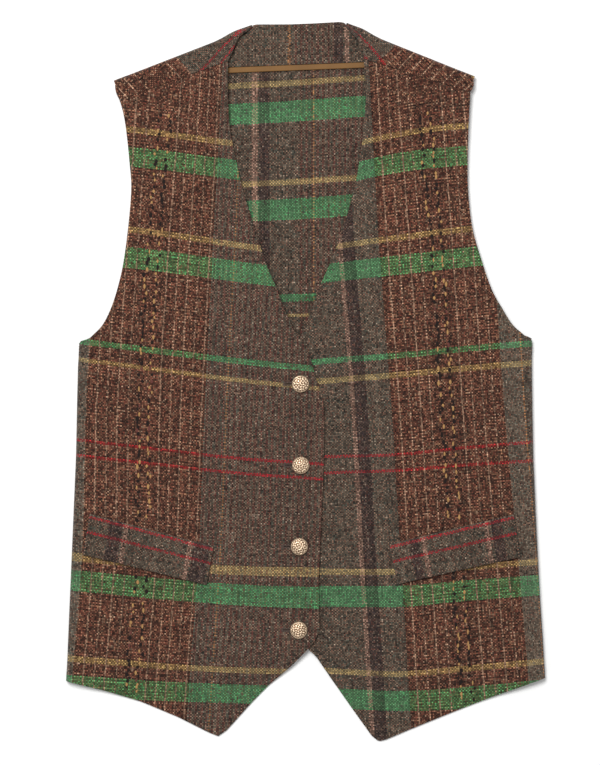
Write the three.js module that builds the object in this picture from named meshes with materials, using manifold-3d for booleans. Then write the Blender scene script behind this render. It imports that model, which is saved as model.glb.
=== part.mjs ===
// A tweed suit waistcoat for a woman, buttoned right over left and laid flat on its back.
// Millimetres. X runs across the waistcoat, Y from the hem to the neck and Z up from the table.
// The origin is the middle of the outline, on the table. "Right" is the wearer's right, at -X.
//
// Each cloth piece is a surface through the middle of the cloth, ruled between two edges by a table
// of sections, and then given its thickness. A front turns under at the side and meets the back
// below. The back turns over at the shoulder and meets the front on top, at a seam set forward.
import * as THREE from "three";
import Module from "manifold-3d";
import { mergeVertices } from "three/addons/utils/BufferGeometryUtils.js";

const wasm = await Module();
wasm.setup();

// Driving dimensions
const CLOTH = 2.0; // tweed, canvas and turnings pressed together
const FACING_CLOTH = 1.4; // one layer of tweed
const FLAP_CLOTH = 1.8;
const TAPE_CLOTH = 1.8;
const TAPE_WIDTH = 5.0;
const GAP = 0.3; // between two pieces where they are sewn or lie together
const FOLD = 3.5; // radius of the side and shoulder folds, at the middle of the cloth
const UNDER = 8; // how far a front runs on below, past the side fold
const TABLE = CLOTH / 2; // height of the middle of a cloth that lies on the table
const FOLD_TOP = TABLE + 2 * FOLD;
const REST = 4.3; // height of a front where it lies on the back
// The right front rises from startX to lie on the left front, and comes down again past its hem
const OVERLAP = { rise: CLOTH + 0.8, startX: -48, width: 22, fadeFrom: -250, fadeLength: 32 };
const UNDERARM = 33;
const BUTTON = { radius: 8, under: 7.1, rim: 0.9, shoulder: 7.7, dome: 3.3, shank: 1.1 };
const BUTTONHOLE = { length: 17, width: 2.8, past: 2.5 }; // past the button's middle, to the left
const FLAP_LIFT = { sewn: 0.15, free: 1.25 }; // of a pocket flap over its front, at each edge

// How far the lift at a fold reaches into a front, and how far a point hangs before it lies down
const SIDE_REACH = 62;
const ARM_REACH = 80;
const SHOULDER_REACH = 90;
const POINT_REACH = 45;
const DRAPE_CLEAR = { side: 30, shoulder: 40 }; // the folds are too stiff to drape for so far

const TURNED = Math.PI * FOLD - FOLD + UNDER; // flat cloth past the outline at the side
const TURN_COLUMNS = [0, 0.45, 0.56, 0.67, 0.78, 0.89, 1]; // places across it, most of them in the fold
const UNDERARM_ROW = 7; // the last section that turns under, in both tables below
const FRONT_HEM_FADES = 4.2; // sections over which the shape of a hem fades into straight rows
const BACK_HEM_FADES = 4;
const ROOF = { start: 6, power: 1.6 }; // from this section on, the back's rows take on its top outline

// Sections of the right front, from the hem to the shoulder: the side or armhole edge and the front edge
const RIGHT_SECTIONS = [
  { sideX: -220.5, sideY: -275.3, frontX: 13.0, frontY: -225.5 },
  { sideX: -219.4, sideY: -253.1, frontX: 12.3, frontY: -208.0 },
  { sideX: -217.7, sideY: -212.0, frontX: 12.2, frontY: -180.0 },
  { sideX: -214.6, sideY: -140.0, frontX: 14.6, frontY: -124.0 },
  { sideX: -211.5, sideY: -68.0, frontX: 17.1, frontY: -62.0 },
  { sideX: -210.4, sideY: -14.0, frontX: 16.4, frontY: -20.0 },
  { sideX: -209.7, sideY: 14.0, frontX: 9.9, frontY: 2.0 },
  { sideX: -208.8, sideY: 28.0, frontX: 4.0, frontY: 23.0 },
  { sideX: -197.6, sideY: 40.8, frontX: -5.3, frontY: 39.3 },
  { sideX: -187.0, sideY: 51.7, frontX: -11.0, frontY: 48.5 },
  { sideX: -179.3, sideY: 66.7, frontX: -18.9, frontY: 66.0 },
  { sideX: -173.2, sideY: 85.1, frontX: -27.0, frontY: 87.0 },
  { sideX: -167.9, sideY: 107.9, frontX: -35.6, frontY: 107.0 },
  { sideX: -163.5, sideY: 140.0, frontX: -46.4, frontY: 140.0 },
  { sideX: -160.4, sideY: 176.8, frontX: -57.6, frontY: 176.5 },
  { sideX: -162.0, sideY: 203.0, frontX: -64.2, frontY: 205.0 },
  { sideX: -165.0, sideY: 232.4, frontX: -69.6, frontY: 234.0 },
  { sideX: -167.9, sideY: 248.6, frontX: -71.4, frontY: 264.0 },
  { sideX: -170.8, sideY: 258.8, frontX: -71.2, frontY: 294.6 },
];

// The same for the left front. Its front edge is hidden under the right one below the neckline.
const LEFT_SECTIONS = [
  { sideX: 220.6, sideY: -272.4, frontX: -24.0, frontY: -224.0 },
  { sideX: 218.9, sideY: -241.6, frontX: -24.3, frontY: -206.0 },
  { sideX: 216.1, sideY: -200.4, frontX: -24.6, frontY: -178.0 },
  { sideX: 212.9, sideY: -140.0, frontX: -25.0, frontY: -124.0 },
  { sideX: 209.8, sideY: -70.0, frontX: -25.0, frontY: -62.0 },
  { sideX: 208.7, sideY: -10.0, frontX: -22.5, frontY: -15.0 },
  { sideX: 208.4, sideY: 16.0, frontX: -15.5, frontY: 11.0 },
  { sideX: 208.6, sideY: 31.0, frontX: -9.4, frontY: 29.0 },
  { sideX: 201.0, sideY: 42.7, frontX: -3.0, frontY: 45.5 },
  { sideX: 190.4, sideY: 52.3, frontX: 2.0, frontY: 58.0 },
  { sideX: 180.3, sideY: 68.3, frontX: 7.2, frontY: 71.5 },
  { sideX: 171.2, sideY: 85.0, frontX: 13.2, frontY: 88.0 },
  { sideX: 162.5, sideY: 110.0, frontX: 23.0, frontY: 110.5 },
  { sideX: 153.8, sideY: 140.0, frontX: 34.2, frontY: 140.0 },
  { sideX: 149.7, sideY: 173.0, frontX: 43.8, frontY: 174.0 },
  { sideX: 149.0, sideY: 205.3, frontX: 49.8, frontY: 204.0 },
  { sideX: 149.8, sideY: 236.0, frontX: 53.6, frontY: 238.0 },
  { sideX: 150.7, sideY: 253.0, frontX: 55.6, frontY: 268.0 },
  { sideX: 151.5, sideY: 266.0, frontX: 53.5, frontY: 296.4 },
];

// The hem of each front as it crosses the panel, from the side to the front edge
const RIGHT_HEM = [
  { x: -220.5, y: -275.3 },
  { x: -187.0, y: -283.8 },
  { x: -153.4, y: -294.2 },
  { x: -118.0, y: -309.0 },
  { x: -90.0, y: -323.0 },
  { x: -81.0, y: -326.6 },
  { x: -73.0, y: -321.0 },
  { x: -49.6, y: -295.2 },
  { x: -34.3, y: -279.6 },
  { x: -13.2, y: -261.4 },
  { x: 1.5, y: -246.4 },
  { x: 9.4, y: -237.2 },
  { x: 13.0, y: -225.5 },
];
const LEFT_HEM = [
  { x: 220.6, y: -272.4 },
  { x: 173.1, y: -290.0 },
  { x: 132.0, y: -306.1 },
  { x: 94.5, y: -321.3 },
  { x: 75.0, y: -329.6 },
  { x: 67.6, y: -331.4 },
  { x: 61.0, y: -325.8 },
  { x: 41.6, y: -298.8 },
  { x: 25.6, y: -276.0 },
  { x: 9.8, y: -252.6 },
  { x: 2.0, y: -245.6 },
  { x: -12.0, y: -241.4 },
  { x: -20.5, y: -236.0 },
  { x: -24.0, y: -224.0 },
];

// Sections of the back: at the seams with the fronts, whose outline gives x, and up the armholes
const BACK_SEAM_ROWS = [
  { rightY: -273.4, leftY: -271.2 },
  { rightY: -228.0, leftY: -226.0 },
  { rightY: -140.0, leftY: -140.0 },
  { rightY: -68.0, leftY: -68.0 },
  { rightY: -10.0, leftY: -10.0 },
  { rightY: 25.0, leftY: 28.0 },
];
const BACK_ARM_ROWS = [
  { rightX: -190.5, rightY: 38.5, leftX: 191.5, leftY: 41.5 },
  { rightX: -180.5, rightY: 53.0, leftX: 181.0, leftY: 54.5 },
  { rightX: -170.0, rightY: 80.0, leftX: 167.5, leftY: 80.0 },
  { rightX: -162.6, rightY: 120.0, leftX: 155.2, leftY: 120.0 },
  { rightX: -157.6, rightY: 170.0, leftX: 146.4, leftY: 170.0 },
  { rightX: -159.0, rightY: 205.0, leftX: 145.4, leftY: 205.0 },
  { rightX: -162.8, rightY: 236.0, leftX: 146.4, leftY: 238.0 },
  { rightX: -168.6, rightY: 258.0, leftX: 149.6, leftY: 262.0 },
  { rightX: -174.9, rightY: 273.2, leftX: 154.2, leftY: 277.1 },
];
const BACK_HEM = { middle: -238, side: -273, halfWidth: 208 };

// The back's neck edge, between the shoulder folds
const NECK_EDGE = [
  { x: -48.2, y: 328.8 },
  { x: -45.5, y: 329.5 },
  { x: -14.0, y: 329.6 },
  { x: 10.0, y: 330.6 },
  { x: 31.0, y: 331.8 },
  { x: 34.8, y: 331.3 },
  { x: 36.6, y: 330.3 },
];

// Each yoke from its shoulder fold to its seam with the front. neckBow is how far its neck edge
// bows inwards at even steps from the fold to the seam.
const RIGHT_YOKE = {
  hand: -1,
  fold: { armX: -174.9, armY: 273.2, neckX: -47.1, neckY: 322.8 },
  seam: { armX: -170.9, armY: 259.2, neckX: -71.1, neckY: 295.0 },
  neckBow: [{ bow: 0 }, { bow: 5.1 }, { bow: 4.2 }, { bow: 1.8 }, { bow: 0 }],
};
const LEFT_YOKE = {
  hand: 1,
  fold: { armX: 154.2, armY: 277.1, neckX: 35.6, neckY: 324.6 },
  seam: { armX: 151.6, armY: 266.4, neckX: 53.6, neckY: 296.8 },
  neckBow: [{ bow: 0 }, { bow: 2.0 }, { bow: 3.8 }, { bow: 3.6 }, { bow: 0 }],
};
const ARM_BOW = 1.3; // how far a yoke's armhole edge bows outwards
// Near the neck a shoulder fold curves up, and then it is pressed flat where it meets the neck edge
const NECK_CORNER = { curve: 2.3, curveFrom: 0.72, curveLength: 0.17, flatFrom: 0.88, radius: 1.15, reach: 13 };

// Pocket flaps: the sewn edge on top and the free edge below, from the side towards the front
const RIGHT_FLAP = { top: [[-198.1, -121.3], [-84.5, -151.6]], low: [[-203.9, -158.6], [-90.9, -186.8]] };
const LEFT_FLAP = { top: [[191.1, -121.7], [77.0, -149.3]], low: [[196.8, -160.8], [84.6, -186.0]] };

// Soft ridges (+) and troughs (-) that the cloth has taken on
const DRAPE = [
  { x: -100, y: 30, length: 150, width: 95, turn: 84, height: 2.3 },
  { x: 98, y: 30, length: 150, width: 95, turn: 96, height: 2.3 },
  { x: -128, y: 196, length: 95, width: 30, turn: 102, height: 0.9 },
  { x: 118, y: 190, length: 105, width: 30, turn: 80, height: 0.9 },
  { x: -150, y: -60, length: 110, width: 26, turn: 78, height: 0.8 },
  { x: 152, y: -52, length: 120, width: 28, turn: 100, height: 0.7 },
  { x: -62, y: -96, length: 70, width: 24, turn: 12, height: 0.5 },
  { x: 74, y: -62, length: 80, width: 26, turn: -16, height: 0.6 },
  { x: -132, y: -222, length: 80, width: 34, turn: 98, height: 0.8 },
  { x: 128, y: -226, length: 84, width: 32, turn: 84, height: 0.8 },
];

const BUTTONS = [
  { x: -4.6, y: -1.9 },
  { x: -4.3, y: -76.6 },
  { x: -5.7, y: -151.3 },
  { x: -6.2, y: -228.0 },
];

const COLOURS = {
  tweed: { color: 0x5b493e, roughness: 0.95, metalness: 0 },
  facing: { color: 0x59483c, roughness: 0.95, metalness: 0 },
  tape: { color: 0x7a5b36, roughness: 0.8, metalness: 0 },
  button: { color: 0xb9a087, roughness: 0.35, metalness: 0.8 },
};

// Small curve helpers
const clamp = (t) => Math.min(1, Math.max(0, t));
const ease = (t) => clamp(t) ** 2 * (3 - 2 * clamp(t));
const mix = (a, b, t) => a + (b - a) * t;

// A smooth value through rows[i][name], read at a place between 0 and the last row
function along(rows, name, place) {
  const i = Math.min(rows.length - 2, Math.max(0, Math.floor(place)));
  const t = place - i;
  const at = (k) => rows[Math.min(rows.length - 1, Math.max(0, k))][name];
  const before = i > 0 ? at(i - 1) : 2 * at(0) - at(1);
  const after = i < rows.length - 2 ? at(i + 2) : 2 * at(i + 1) - at(i);
  const [a, b] = [at(i), at(i + 1)];
  const bend = 2 * before - 5 * a + 4 * b - after;
  return a + 0.5 * t * (b - before + t * (bend + t * (3 * (a - b) + after - before)));
}

// The straight-line value of y at x on a list of points that runs one way in x
function lineAt(points, x) {
  const run = points[0].x < points.at(-1).x ? points : [...points].reverse();
  const k = Math.min(run.length - 2, Math.max(0, run.findIndex((p) => p.x > x) - 1));
  const i = x >= run.at(-1).x ? run.length - 2 : k;
  return mix(run[i].y, run[i + 1].y, clamp((x - run[i].x) / (run[i + 1].x - run[i].x)));
}

// The middle of the cloth at a front's side fold, at a height, held straight above the underarm
function sideEdge({ hand, sections }, y) {
  const side = sections.filter((row) => row.sideY < UNDERARM);
  const points = side.map((row) => ({ x: row.sideY, y: row.sideX }));
  return lineAt(points, Math.min(y, side.at(-1).sideY)) - (hand * CLOTH) / 2;
}

const backHem = (x) => mix(BACK_HEM.middle, BACK_HEM.side, (x / BACK_HEM.halfWidth) ** 2);

function drape(x, y) {
  return DRAPE.reduce((sum, fold) => {
    const turn = THREE.MathUtils.degToRad(fold.turn);
    const run = (x - fold.x) * Math.cos(turn) + (y - fold.y) * Math.sin(turn);
    const across = (y - fold.y) * Math.cos(turn) - (x - fold.x) * Math.sin(turn);
    return sum + fold.height * Math.exp(-((run / fold.length) ** 2) - (across / fold.width) ** 2);
  }, 0);
}

// Height of the middle of a front's cloth over the table
function frontHeight(front, x, y) {
  const { hand, sections } = front;
  const inward = -hand * (x - sideEdge(front, y));
  const bySide = (1 - ease((inward - FOLD) / SIDE_REACH)) * (1 - ease((y - UNDERARM) / ARM_REACH));
  const seam = sections.at(-1);
  const slope = (seam.frontY - seam.sideY) / (seam.frontX - seam.sideX);
  const below = (seam.sideY + slope * (x - seam.sideX) - y) / Math.hypot(1, slope);
  const byShoulder = 1 - ease(below / SHOULDER_REACH);
  const fold = Math.max(bySide, byShoulder);
  const free = ease((inward - FOLD) / DRAPE_CLEAR.side) * ease(below / DRAPE_CLEAR.shoulder);
  const pastHem = ease((backHem(x) - y) / POINT_REACH);
  const height = mix(mix(REST, FOLD_TOP, fold) + drape(x, y) * free, TABLE, pastHem);
  if (hand > 0) return height;
  const overLeft = ease((x - OVERLAP.startX) / OVERLAP.width) * (1 - byShoulder);
  return height + OVERLAP.rise * overLeft * (1 - ease((OVERLAP.fadeFrom - y) / OVERLAP.fadeLength));
}

// Puts a point of a front's flat cut where it lies: on top, round the side fold, or below
function layFront(front, x, y) {
  const { hand } = front;
  const edge = sideEdge(front, y);
  const radius = (frontHeight(front, edge - hand * FOLD, y) - TABLE) / 2;
  const quarter = (Math.PI / 2) * radius;
  const inward = -hand * (x - edge) - radius + quarter;
  if (inward >= quarter) return new THREE.Vector3(x, y, frontHeight(front, x, y));
  if (inward <= -quarter) {
    const below = radius - inward - quarter;
    return new THREE.Vector3(edge - hand * below, y, TABLE);
  }
  const angle = inward / radius;
  const out = radius * (1 - Math.cos(angle));
  return new THREE.Vector3(edge - hand * out, y, TABLE + radius * (1 + Math.sin(angle)));
}

// A wall of cloth: a sheet of four-cornered faces moved out to each side, with a rim all round
function wall(points, faces, thickness) {
  const normals = points.map(() => new THREE.Vector3());
  const edge = new THREE.Vector3();
  const side = new THREE.Vector3();
  for (const [a, b, c, d] of faces) {
    edge.subVectors(points[c], points[a]);
    side.subVectors(points[d], points[b]);
    const face = edge.clone().cross(side);
    for (const k of [a, b, c, d]) normals[k].add(face);
  }
  const half = thickness / 2;
  const outer = points.map((p, k) => p.clone().addScaledVector(normals[k].normalize(), half));
  const inner = points.map((p, k) => p.clone().addScaledVector(normals[k], -half));
  const count = points.length;
  const index = [];
  const open = new Map();
  for (const corners of faces) {
    const [a, b, c, d] = corners;
    index.push(a, b, c, a, c, d);
    index.push(count + a, count + c, count + b, count + a, count + d, count + c);
    corners.forEach((from, k) => {
      const to = corners[(k + 1) % 4];
      if (!open.delete(`${to},${from}`)) open.set(`${from},${to}`, [from, to]);
    });
  }
  for (const [from, to] of open.values()) {
    index.push(from, count + from, count + to, from, count + to, to);
  }
  const geometry = new THREE.BufferGeometry();
  const flat = [...outer, ...inner].flatMap((p) => [p.x, p.y, p.z]);
  geometry.setAttribute("position", new THREE.Float32BufferAttribute(flat, 3));
  geometry.setIndex(index);
  return geometry;
}

// A grid of points, rows by columns, as a wall whose outer side is up when columns run towards +X
function gridWall(rows, thickness, flip = false) {
  const width = rows[0].length;
  const faces = [];
  for (let r = 0; r + 1 < rows.length; r++) {
    for (let c = 0; c + 1 < width; c++) {
      const k = r * width + c;
      const face = [k, k + 1, k + 1 + width, k + width];
      faces.push(flip ? face.reverse() : face);
    }
  }
  return wall(rows.flat(), faces, thickness);
}

// The rows of a front's flat cut. The lowest follows the hem, and its shape fades out upwards.
// Along a row the columns run from the seam below, round the side fold and over to the front edge.
function frontRows(front) {
  const { hand, sections, hem, places, topColumns } = front;
  const hemEnds = [sections[0].sideY, sections[0].frontY];
  return places.map((place) => {
    const row = {};
    for (const name of Object.keys(sections[0])) row[name] = along(sections, name, place);
    const turned = 1 - ease(place - UNDERARM_ROW);
    const folded = row.sideX - (hand * turned * CLOTH) / 2;
    const start = turned === 1 ? sideEdge(front, row.sideY) : folded;
    const under = TURN_COLUMNS.map((t) => start + hand * turned * TURNED * (1 - t));
    const top = topColumns.map((t) => mix(start, row.frontX, t));
    const hemShape = 1 - ease(place / FRONT_HEM_FADES);
    return [...under, ...top].map((x) => {
      const t = clamp((x - start) / (row.frontX - start));
      const hemX = mix(sections[0].sideX, sections[0].frontX, t);
      const drop = lineAt(hem, hemX) - mix(hemEnds[0], hemEnds[1], t);
      return layFront(front, x, mix(row.sideY, row.frontY, t) + drop * hemShape);
    });
  });
}

// Rows at each half section, closer round the underarm's corner
const halves = (from, to) => Array.from({ length: 2 * (to - from) + 1 }, (_, k) => from + k / 2);
const PLACES = [...halves(0, 7), 7.25, 7.5, 7.75, ...halves(8, 14), 15, ...halves(16, 18)];

const rightFront = {
  hand: -1,
  sections: RIGHT_SECTIONS,
  hem: RIGHT_HEM,
  places: PLACES,
  topColumns: [0.06, 0.14, 0.23, 0.33, 0.44, 0.55, 0.599, 0.64, 0.7, 0.79, 0.84, 0.89, 0.96, 1],
};
const leftFront = {
  hand: 1,
  sections: LEFT_SECTIONS,
  hem: LEFT_HEM,
  places: PLACES,
  topColumns: [0.05, 0.12, 0.2, 0.29, 0.39, 0.5, 0.6, 0.627, 0.66, 0.73, 0.8, 0.87, 0.95, 1],
};

// Closed solids with merged points, for cutting
function toSolid(geometry) {
  const plain = geometry.clone();
  plain.deleteAttribute("normal");
  plain.deleteAttribute("uv");
  const merged = mergeVertices(plain, 1e-4);
  const vertProperties = new Float32Array(merged.attributes.position.array);
  const triVerts = new Uint32Array(merged.index.array);
  return new wasm.Manifold(new wasm.Mesh({ numProp: 3, vertProperties, triVerts }));
}

function toGeometry(solid) {
  const mesh = solid.getMesh();
  const geometry = new THREE.BufferGeometry();
  geometry.setAttribute("position", new THREE.BufferAttribute(mesh.vertProperties, 3));
  geometry.setIndex(new THREE.BufferAttribute(mesh.triVerts, 1));
  return geometry;
}

// The right front has four buttonholes, each running from its button towards the side
function rightFrontGeometry() {
  let solid = toSolid(gridWall(frontRows(rightFront), CLOTH));
  for (const button of BUTTONS) {
    const { length, width, past } = BUTTONHOLE;
    const slot = new THREE.BoxGeometry(length, width, 4 * CLOTH);
    const height = frontHeight(rightFront, button.x, button.y);
    slot.translate(button.x + past - length / 2, button.y, height);
    solid = solid.subtract(toSolid(slot));
  }
  return toGeometry(solid);
}

// The crease of a shoulder fold, from 0 at the armhole to 1 at the neck, with the fold's radius there
function foldPoint({ fold }, t) {
  const slope = (fold.neckY - fold.armY) / (fold.neckX - fold.armX);
  const up = new THREE.Vector2(-slope, 1).normalize();
  const flat = ease((t - NECK_CORNER.flatFrom) / (1 - NECK_CORNER.flatFrom));
  const radius = mix(FOLD, NECK_CORNER.radius, flat);
  const curve = NECK_CORNER.curve * ease((t - NECK_CORNER.curveFrom) / NECK_CORNER.curveLength);
  const lift = curve + FOLD - radius;
  const x = mix(fold.armX, fold.neckX, t) + up.x * lift;
  const y = mix(fold.armY, fold.neckY, t) + up.y * lift;
  return { x, y, up, radius };
}

// A point of a yoke on top: s runs from the fold to the seam, and t from the armhole to the neck
function yokePoint(yoke, s, t) {
  const { hand, seam, neckBow } = yoke;
  const start = foldPoint(yoke, t);
  const neck = along(neckBow, "bow", s * (neckBow.length - 1)) * t ** 4;
  const arm = ARM_BOW * 4 * s * (1 - s) * (1 - t) ** 4;
  const x = mix(start.x, mix(seam.armX, seam.neckX, t), s) + hand * (neck + arm);
  const y = mix(start.y, mix(seam.armY, seam.neckY, t), s);
  const away = Math.hypot(x - start.x, y - start.y);
  const height = mix(TABLE + 2 * start.radius, FOLD_TOP, ease(away / NECK_CORNER.reach));
  return new THREE.Vector3(x, y, height);
}

// The back lies on the table with its right side down, and its yokes turn over on top
function backGeometry() {
  const seamX = (front, y) => sideEdge(front, y) - front.hand * (UNDER + FOLD + GAP);
  const seamRows = BACK_SEAM_ROWS.map((row) => ({
    ...row,
    rightX: seamX(rightFront, row.rightY),
    leftX: seamX(leftFront, row.leftY),
  }));
  const sections = [...seamRows, ...BACK_ARM_ROWS];
  const last = sections.length - 1;
  const strap = [0, 0.18, 0.36, 0.54, 0.72, 0.8, 0.88, 0.92, 0.96, 1];
  const roof = [
    ...strap.map((t) => foldPoint(RIGHT_YOKE, t)),
    ...NECK_EDGE,
    ...[...strap].reverse().map((t) => foldPoint(LEFT_YOKE, t)),
  ];
  const width = roof.length;
  const ends = [roof[0], roof.at(-1)];
  const places = halves(0, last);
  const points = [];
  for (const place of places) {
    const row = {};
    for (const name of Object.keys(sections[0])) row[name] = along(sections, name, place);
    if (place < seamRows.length - 1) {
      row.rightX = seamX(rightFront, row.rightY);
      row.leftX = seamX(leftFront, row.leftY);
    }
    const hemShape = 1 - ease(place / BACK_HEM_FADES);
    const roofShape = clamp((place - ROOF.start) / (last - ROOF.start)) ** ROOF.power;
    for (const goal of roof) {
      const t = (goal.x - ends[0].x) / (ends[1].x - ends[0].x);
      const x = mix(row.rightX, row.leftX, t);
      const arch = backHem(x) - mix(sections[0].rightY, sections[0].leftY, t);
      const rise = goal.y - mix(ends[0].y, ends[1].y, t);
      const atCorner = t === 0 || t === 1;
      const y = mix(row.rightY, row.leftY, t) + (atCorner ? 0 : arch * hemShape) + rise * roofShape;
      points.push(new THREE.Vector3(x, y, TABLE));
    }
  }
  const faces = [];
  const quad = (a, b, c, d) => faces.push([a, b, c, d]);
  for (let r = 0; r + 1 < places.length; r++) {
    for (let c = 0; c + 1 < width; c++) {
      const k = r * width + c;
      quad(k, k + width, k + 1 + width, k + 1);
    }
  }
  const top = (places.length - 1) * width;
  const shoulders = [
    { yoke: RIGHT_YOKE, first: top, order: strap },
    { yoke: LEFT_YOKE, first: top + width - strap.length, order: [...strap].reverse() },
  ];
  for (const { yoke, first, order } of shoulders) {
    let below = strap.map((_, c) => first + c);
    const addRow = (place) => {
      const here = order.map((t) => points.push(place(t)) - 1);
      for (let c = 0; c + 1 < here.length; c++) quad(below[c], here[c], here[c + 1], below[c + 1]);
      below = here;
    };
    for (const angle of [-60, -30, 0, 30, 60, 90].map(THREE.MathUtils.degToRad)) {
      addRow((t) => {
        const { x, y, up, radius } = foldPoint(yoke, t);
        const out = radius * Math.cos(angle);
        const height = TABLE + radius * (1 + Math.sin(angle));
        return new THREE.Vector3(x + up.x * out, y + up.y * out, height);
      });
    }
    for (const s of [0.15, 0.35, 0.65, 1]) addRow((t) => yokePoint(yoke, s, t));
  }
  return wall(points, faces, CLOTH);
}

// A pocket flap lies on its front, sewn along the top, with its lower edge a little proud
function flapGeometry(front, flap) {
  const [across, down] = [12, 4];
  const onFront = CLOTH / 2 + GAP + FLAP_CLOTH / 2;
  const rows = [];
  for (let r = down; r >= 0; r--) {
    const v = r / down;
    rows.push(Array.from({ length: across + 1 }, (_, c) => {
      const u = c / across;
      const x = mix(mix(flap.top[0][0], flap.top[1][0], u), mix(flap.low[0][0], flap.low[1][0], u), v);
      const y = mix(mix(flap.top[0][1], flap.top[1][1], u), mix(flap.low[0][1], flap.low[1][1], u), v);
      const lift = mix(FLAP_LIFT.sewn, FLAP_LIFT.free, v * v);
      return new THREE.Vector3(x, y, frontHeight(front, x, y) + onFront + lift);
    }));
  }
  return gridWall(rows, FLAP_CLOTH, front.hand > 0);
}

// The facing inside the back neck, and the tape that binds its lower edge
const FACING_SIDES = { right: -84, left: 68 };
const FACING_LOW = { right: 289.3, left: 295.2 };
const facingLow = (x) => {
  const t = (x - FACING_SIDES.right) / (FACING_SIDES.left - FACING_SIDES.right);
  return mix(FACING_LOW.right, FACING_LOW.left, t);
};

// The facing's upper edge lies just inside the neck edge. At each corner it keeps to the yoke's
// neck edge, where the fold is flat, and then it runs on under the yoke, just short of the fold.
const FACING_TOP = [
  { x: -84.0, y: 307.5 },
  { x: -62.0, y: 317.0 },
  { x: -57.5, y: 319.6 },
  { x: -53.5, y: 322.4 },
  { x: -49.2, y: 325.2 },
  { x: -46.6, y: 327.3 },
  { x: -43.0, y: 328.6 },
  { x: -14.0, y: 328.8 },
  { x: 10.0, y: 329.8 },
  { x: 31.0, y: 330.9 },
  { x: 34.4, y: 330.0 },
  { x: 36.4, y: 327.4 },
  { x: 39.4, y: 324.2 },
  { x: 42.4, y: 321.4 },
  { x: 45.5, y: 319.5 },
  { x: 52.0, y: 318.0 },
  { x: 68.0, y: 310.4 },
];

function facingGeometry() {
  const middle = CLOTH + GAP + FACING_CLOTH / 2;
  const rows = [0, 0.5, 1].map((v) => FACING_TOP.map(({ x, y }) => {
    return new THREE.Vector3(x, mix(facingLow(x), y, v), middle);
  }));
  return gridWall(rows, FACING_CLOTH);
}

function tapeGeometry() {
  const middle = CLOTH + GAP + TAPE_CLOTH / 2;
  const spans = 12;
  const rows = [TAPE_WIDTH + GAP, GAP].map((down) => Array.from({ length: spans + 1 }, (_, k) => {
    const x = mix(FACING_SIDES.right, FACING_SIDES.left, k / spans);
    return new THREE.Vector3(x, facingLow(x) - down, middle);
  }));
  return gridWall(rows, TAPE_CLOTH);
}

// A domed metal button on a shank that goes through its buttonhole to the left front
function buttonGeometry(button) {
  const [domeSteps, around] = [5, 28];
  const spots = Array.from({ length: 8 }, (_, k) => (k * Math.PI) / 4);
  const cloth = spots.map((angle) => {
    const x = button.x + BUTTON.under * Math.cos(angle);
    return frontHeight(rightFront, x, button.y + BUTTON.under * Math.sin(angle));
  });
  const base = Math.max(...cloth) + CLOTH / 2 + GAP;
  const foot = frontHeight(leftFront, button.x, button.y) + CLOTH / 2 + GAP;
  const profile = [
    new THREE.Vector2(0, foot),
    new THREE.Vector2(BUTTON.shank, foot),
    new THREE.Vector2(BUTTON.shank, base),
    new THREE.Vector2(BUTTON.under, base),
    new THREE.Vector2(BUTTON.radius, base + BUTTON.rim),
  ];
  for (let step = 1; step <= domeSteps; step++) {
    const angle = (step / domeSteps) * (Math.PI / 2);
    const radius = step < domeSteps ? BUTTON.shoulder * Math.cos(angle) : 0;
    profile.push(new THREE.Vector2(radius, base + BUTTON.rim + BUTTON.dome * Math.sin(angle)));
  }
  const geometry = new THREE.LatheGeometry(profile, around);
  geometry.rotateX(Math.PI / 2);
  geometry.translate(button.x, button.y, 0);
  return geometry;
}

function piece(name, geometry, look) {
  const mesh = new THREE.Mesh(geometry, new THREE.MeshStandardMaterial({ ...look, name }));
  mesh.name = name;
  return mesh;
}

const waistcoat = new THREE.Group();
waistcoat.name = "waistcoat";
waistcoat.add(
  piece("back", backGeometry(), COLOURS.tweed),
  piece("neck_facing", facingGeometry(), COLOURS.facing),
  piece("neck_tape", tapeGeometry(), COLOURS.tape),
  piece("front_left", gridWall(frontRows(leftFront), CLOTH, true), COLOURS.tweed),
  piece("front_right", rightFrontGeometry(), COLOURS.tweed),
  piece("pocket_flap_right", flapGeometry(rightFront, RIGHT_FLAP), COLOURS.facing),
  piece("pocket_flap_left", flapGeometry(leftFront, LEFT_FLAP), COLOURS.facing),
);
BUTTONS.forEach((button, k) => {
  waistcoat.add(piece(`button_${k + 1}`, buttonGeometry(button), COLOURS.button));
});

export default waistcoat;
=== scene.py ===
# %% [markdown]
# # A tweed suit waistcoat, laid flat and seen from straight above
#
# The waistcoat is a woman's: the right front (on the left of the picture) buttons over the left one.
# It lies on its back. The back's yokes turn over at the shoulders and meet the fronts at a seam, and
# the fronts turn under at the sides. Every panel is cut from one check tweed, so most of the work is
# two things: the panels' shapes, and where each stripe of the check runs over them.
#
# The frame holds the solids that were built before. This script dresses them, in the same place.

# %% Load the frame
import math
import random

import bmesh
import bpy
import numpy as np
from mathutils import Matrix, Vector
from mathutils.kdtree import KDTree


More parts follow.
